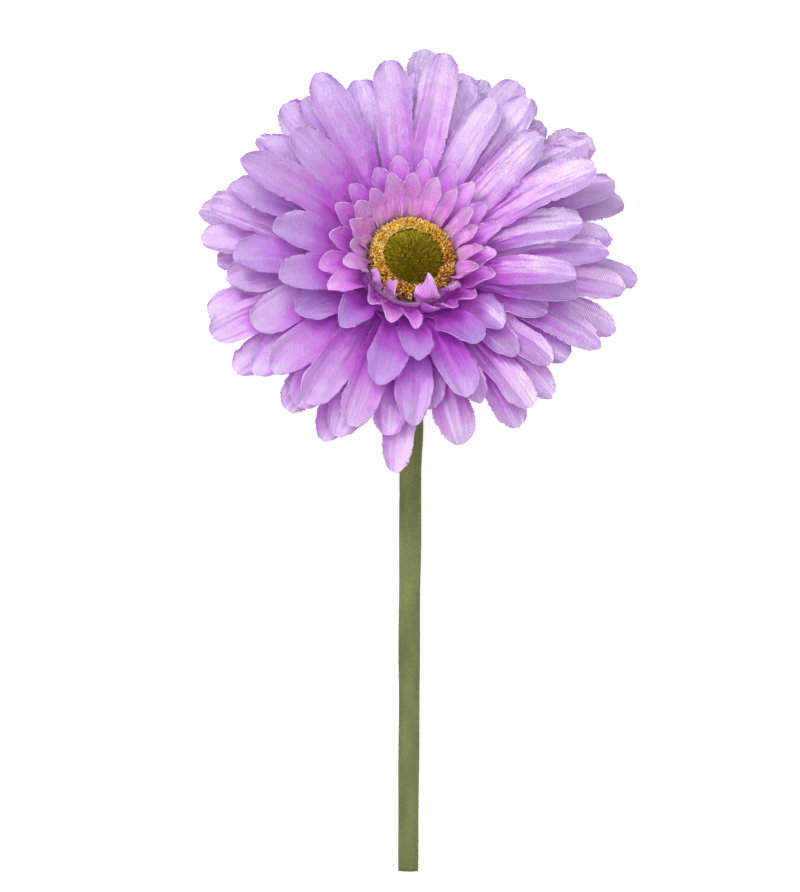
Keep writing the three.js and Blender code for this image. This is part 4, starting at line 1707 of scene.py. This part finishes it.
@dataclass
class Stem:
    """The flocked sleeve on its wire: straight out of the calyx, round the neck, then along the floor."""

    neck_radius: float = 3.05
    cut_radius: float = 2.66
    bore: float = 1.3
    neck_straight: float = 12.3
    neck_bend: float = 11.0
    neck_bows: tuple[float, ...] = (-0.5, -0.7, -0.4)
    start: float = -8.6
    sides: int = 40
    steps: int = 150
    flock: float = 0.08

    CUT = (0.7, -152.4)
    LYING = ((1.5, -35, 3.85), (1.3, -50, 3.8), (1, -96, 3.2))
    CURVE_STEPS = 60
    FUZZ_DOUBLINGS = 13
    FUZZ_SEED = 13
    FUZZ_FROM_STEP = 8

    def stations(self) -> np.ndarray:
        """Lists the points that the stem's middle passes through.

        Returns:
            The points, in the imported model's frame.
        """
        def on_axis(height: float) -> np.ndarray:
            """A point of the bloom's axis."""
            return BLOOM.to_row(np.array([0.0, 0.0, height]))

        neck = on_axis(-self.neck_straight)
        steep = math.radians(90 - BLOOM.tilt)
        points = [on_axis(self.start), on_axis((self.start - self.neck_straight) / 2), neck]
        for i, bow in enumerate(self.neck_bows):
            slope = steep * (1 - (i + 1) / len(self.neck_bows))
            points.append(neck + np.array([
                bow,
                -self.neck_bend * (math.sin(steep) - math.sin(slope)),
                -self.neck_bend * (math.cos(slope) - math.cos(steep)),
            ]))
        x, y, _ = BLOOM.hub
        lying = (*self.LYING, (*self.CUT, self.cut_radius))
        return np.array(points + [np.array([x + aside, y + along, z]) for aside, along, z in lying])

    def curve(self) -> np.ndarray:
        """Draws the stem's middle as a smooth line, evenly stepped along its length.

        Returns:
            One point for each step, from the calyx to the cut.
        """
        knots = self.stations()
        ends = np.vstack([2 * knots[0] - knots[1], knots, 2 * knots[-1] - knots[-2]])
        line = []
        for i in range(1, len(ends) - 2):
            p0, p1, p2, p3 = ends[i - 1:i + 3]
            before, here, after = (
                math.sqrt(np.linalg.norm(b - a)) for a, b in ((p0, p1), (p1, p2), (p2, p3))
            )
            start = ((p1 - p0) / before - (p2 - p0) / (before + here) + (p2 - p1) / here) * here
            finish = ((p2 - p1) / here - (p3 - p1) / (here + after) + (p3 - p2) / after) * here
            share = np.linspace(0, 1, self.CURVE_STEPS, endpoint=i == len(ends) - 3)[:, None]
            cubed, squared = share**3, share**2
            line.append(
                (2 * cubed - 3 * squared + 1) * p1 + (cubed - 2 * squared + share) * start
                + (3 * squared - 2 * cubed) * p2 + (cubed - squared) * finish
            )
        line = np.vstack(line)
        walked = np.concatenate([[0], np.cumsum(np.linalg.norm(np.diff(line, axis=0), axis=1))])
        even = np.linspace(0, walked[-1], self.steps + 1)
        return np.stack([np.interp(even, walked, line[:, axis]) for axis in range(3)], -1)

    def tube(self, radius_at: Callable[[np.ndarray, np.ndarray], np.ndarray]) -> np.ndarray:
        """Places points round the stem's line, one row of them for each step.

        Args:
            radius_at: gives the radius at a share of the length and an angle.

        Returns:
            The points, in millimetres.
        """
        line = self.curve()
        tangent = normalised(np.gradient(line, axis=0))
        aside = normalised(np.array([1.0, 0, 0]) - tangent * tangent[:, :1])
        above = np.cross(aside, tangent)
        shares = np.linspace(0, 1, len(line))
        angles = np.linspace(0, 2 * math.pi, self.sides, endpoint=False)
        share, angle = np.meshgrid(shares, angles, indexing="ij")
        radius = radius_at(share, angle)[..., None]
        return (
            line[:, None] + aside[:, None] * radius * np.sin(angle)[..., None]
            + above[:, None] * radius * np.cos(angle)[..., None]
        )

    def outside(self, share: np.ndarray, angle: np.ndarray) -> np.ndarray:
        """Works out the sleeve's radius: tapered, with the slight unevenness of a flocked skin.

        Args:
            share: the place along the stem, from 0 at the calyx to 1 at the cut.
            angle: the angle round it, in radians.

        Returns:
            The radius in millimetres.
        """
        even = mix(self.neck_radius, self.cut_radius, share)
        uneven = 0.05 * np.sin(3 * angle + 21 * share) + 0.06 * np.sin(2 * angle - 34 * share + 1.0)
        return even - self.flock + uneven * (1 - share**8)

    def sleeve(self, skin: np.ndarray) -> bpy.types.Object:
        """Builds the sleeve with its flat cut ends: a circle pushed along the skin and back up the bore.

        Args:
            skin: the points of its outside, one row for each step.

        Returns:
            The sleeve's object.
        """
        def key(place: Sequence[float]) -> tuple[float, ...]:
            """A vertex's place, rounded for looking up."""
            return tuple(round(value, 9) for value in place)

        bm = bmesh.new()
        bore = self.tube(lambda share, angle: np.full_like(share, self.bore))
        bmesh.ops.create_circle(bm, segments=self.sides, radius=1.0, cap_ends=False)
        order = sorted(bm.verts, key=lambda vert: math.atan2(vert.co.x, vert.co.y) % (2 * math.pi))
        path = np.concatenate([skin, bore[::-1]]) * MM
        for vert, point in zip(order, path[0]):
            vert.co = point
        rim = bm.edges[:]
        for row, before in zip(path[1:], path[:-1]):
            moves = {key(Vector(old)): new for old, new in zip(before, row)}
            grown = bmesh.ops.extrude_edge_only(bm, edges=rim)["geom"]
            rim = [part for part in grown if isinstance(part, bmesh.types.BMEdge)]
            for vert in (part for part in grown if isinstance(part, bmesh.types.BMVert)):
                vert.co = moves[key(vert.co)]
        first = [edge for edge in bm.edges if edge.is_boundary and edge not in set(rim)]
        bmesh.ops.bridge_loops(bm, edges=first + rim)
        bmesh.ops.recalc_face_normals(bm, faces=bm.faces[:])
        return made_object(bm, "stem_sleeve", Finishes.STEM)

    def fuzz(self, skin: np.ndarray) -> bpy.types.Object:
        """Builds the flock that stands on the sleeve.

        Args:
            skin: the points of the sleeve's outside, one row for each step.

        Returns:
            The flock's object.
        """
        strands = Strands("stem_fuzz", doublings=self.FUZZ_DOUBLINGS, sides=3, taper=0.7)
        count = strands.count()
        noise = np.random.default_rng(self.FUZZ_SEED)
        step = noise.uniform(self.FUZZ_FROM_STEP, len(skin) - 1.001, count)
        turn = noise.uniform(0, self.sides, count)
        row, column = step.astype(int), turn.astype(int) % self.sides
        share = (step - row)[:, None]
        beside = (column + 1) % self.sides
        roots = mix(
            mix(skin[row, column], skin[row + 1, column], share),
            mix(skin[row, beside], skin[row + 1, beside], share), (turn % 1)[:, None],
        )
        middle = self.curve()
        ways = normalised(roots - mix(middle[row], middle[row + 1], share))
        ways = normalised(ways + noise.normal(0, 0.45, ways.shape))
        roots[:, 2] = np.maximum(roots[:, 2], 0.2)
        ways[:, 2] = np.where(roots[:, 2] < 0.6, np.abs(ways[:, 2]), ways[:, 2])
        return strands.build(
            roots, ways, noise.uniform(0.12, 0.3, count), noise.uniform(0.03, 0.05, count),
            noise.normal(0, 0.2, ways.shape), noise.uniform(0, 1, count), Finishes.STEM_FUZZ,
        )

    def build(self) -> None:
        """Builds the sleeve and its flock."""
        skin = self.tube(self.outside)
        sleeve = self.sleeve(skin)
        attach(sleeve, "root")
        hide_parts("stem")
        fuzz = self.fuzz(skin)
        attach(fuzz, "root")


@dataclass
class Studio:
    """The camera over the flower, the pale floor and the soft lights, with places in metres."""

    frame_height: float = 224.5
    sensor: float = 36.0
    floor_size: float = 4.0
    target: tuple[float, float, float] = (0.0, 0.0, 0.02)
    key_place: tuple[float, float, float] = (-0.45, 0.75, 1.1)
    key_size: float = 0.4
    key_power: float = 7.2
    front_place: tuple[float, float, float] = (0.02, 0.2, 1.3)
    front_size: float = 0.9
    front_power: float = 8.4
    sky: Colour = colour(255, 238, 255)
    sky_strength: float = 0.5

    def light(self, name: str, place: tuple[float, float, float], size: float, power: float) -> None:
        """Adds a square soft light that faces the middle of the flower.

        Args:
            name: the light's name.
            place: where it hangs.
            size: the length of its sides.
            power: its power in watts.
        """
        data = bpy.data.lights.new(name, "AREA")
        data.energy = power
        data.size = size
        lamp = bpy.data.objects.new(name, data)
        lamp.location = place
        lamp.rotation_euler = (Vector(self.target) - Vector(place)).to_track_quat("-Z", "Y").to_euler()
        bpy.context.scene.collection.objects.link(lamp)

    def build(self) -> None:
        """Builds the studio."""
        scene = bpy.context.scene
        scene.view_settings.view_transform = "Standard"
        eye, face = BLOOM.eye(), BLOOM.face()
        camera_data = bpy.data.cameras.new("camera")
        camera_data.sensor_width = self.sensor
        camera_data.lens = self.sensor * (eye[2] - face[2]) / self.frame_height
        camera = bpy.data.objects.new("camera", camera_data)
        camera.location = eye * MM
        scene.collection.objects.link(camera)
        scene.camera = camera

        bm = bmesh.new()
        bmesh.ops.create_grid(bm, x_segments=2, y_segments=2, size=self.floor_size / 2)
        floor = made_object(bm, "floor", Finishes.FLOOR)

        world = bpy.data.worlds.new("sky")
        world.use_nodes = True
        sky = world.node_tree.nodes["Background"]
        sky.inputs["Color"].default_value = self.sky
        sky.inputs["Strength"].default_value = self.sky_strength
        scene.world = world
        self.light("key", self.key_place, self.key_size, self.key_power)
        self.light("front", self.front_place, self.front_size, self.front_power)


def main() -> None:
    """Builds the flower's pieces in order, then the studio."""
    logging.basicConfig(level=logging.INFO, format="%(name)s: %(message)s", stream=sys.stdout)
    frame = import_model()
    Calyx().build()
    for tier in petal_tiers():
        tier.build()
    PollenRing().build()
    Disc().build()
    Stem().build()
    wire = frame["nodes"]["stem_wire"]
    wire.data.materials.clear()
    wire.data.materials.append(Finishes.WIRE.material())
    Studio().build()


if __name__ == "__main__":
    main()
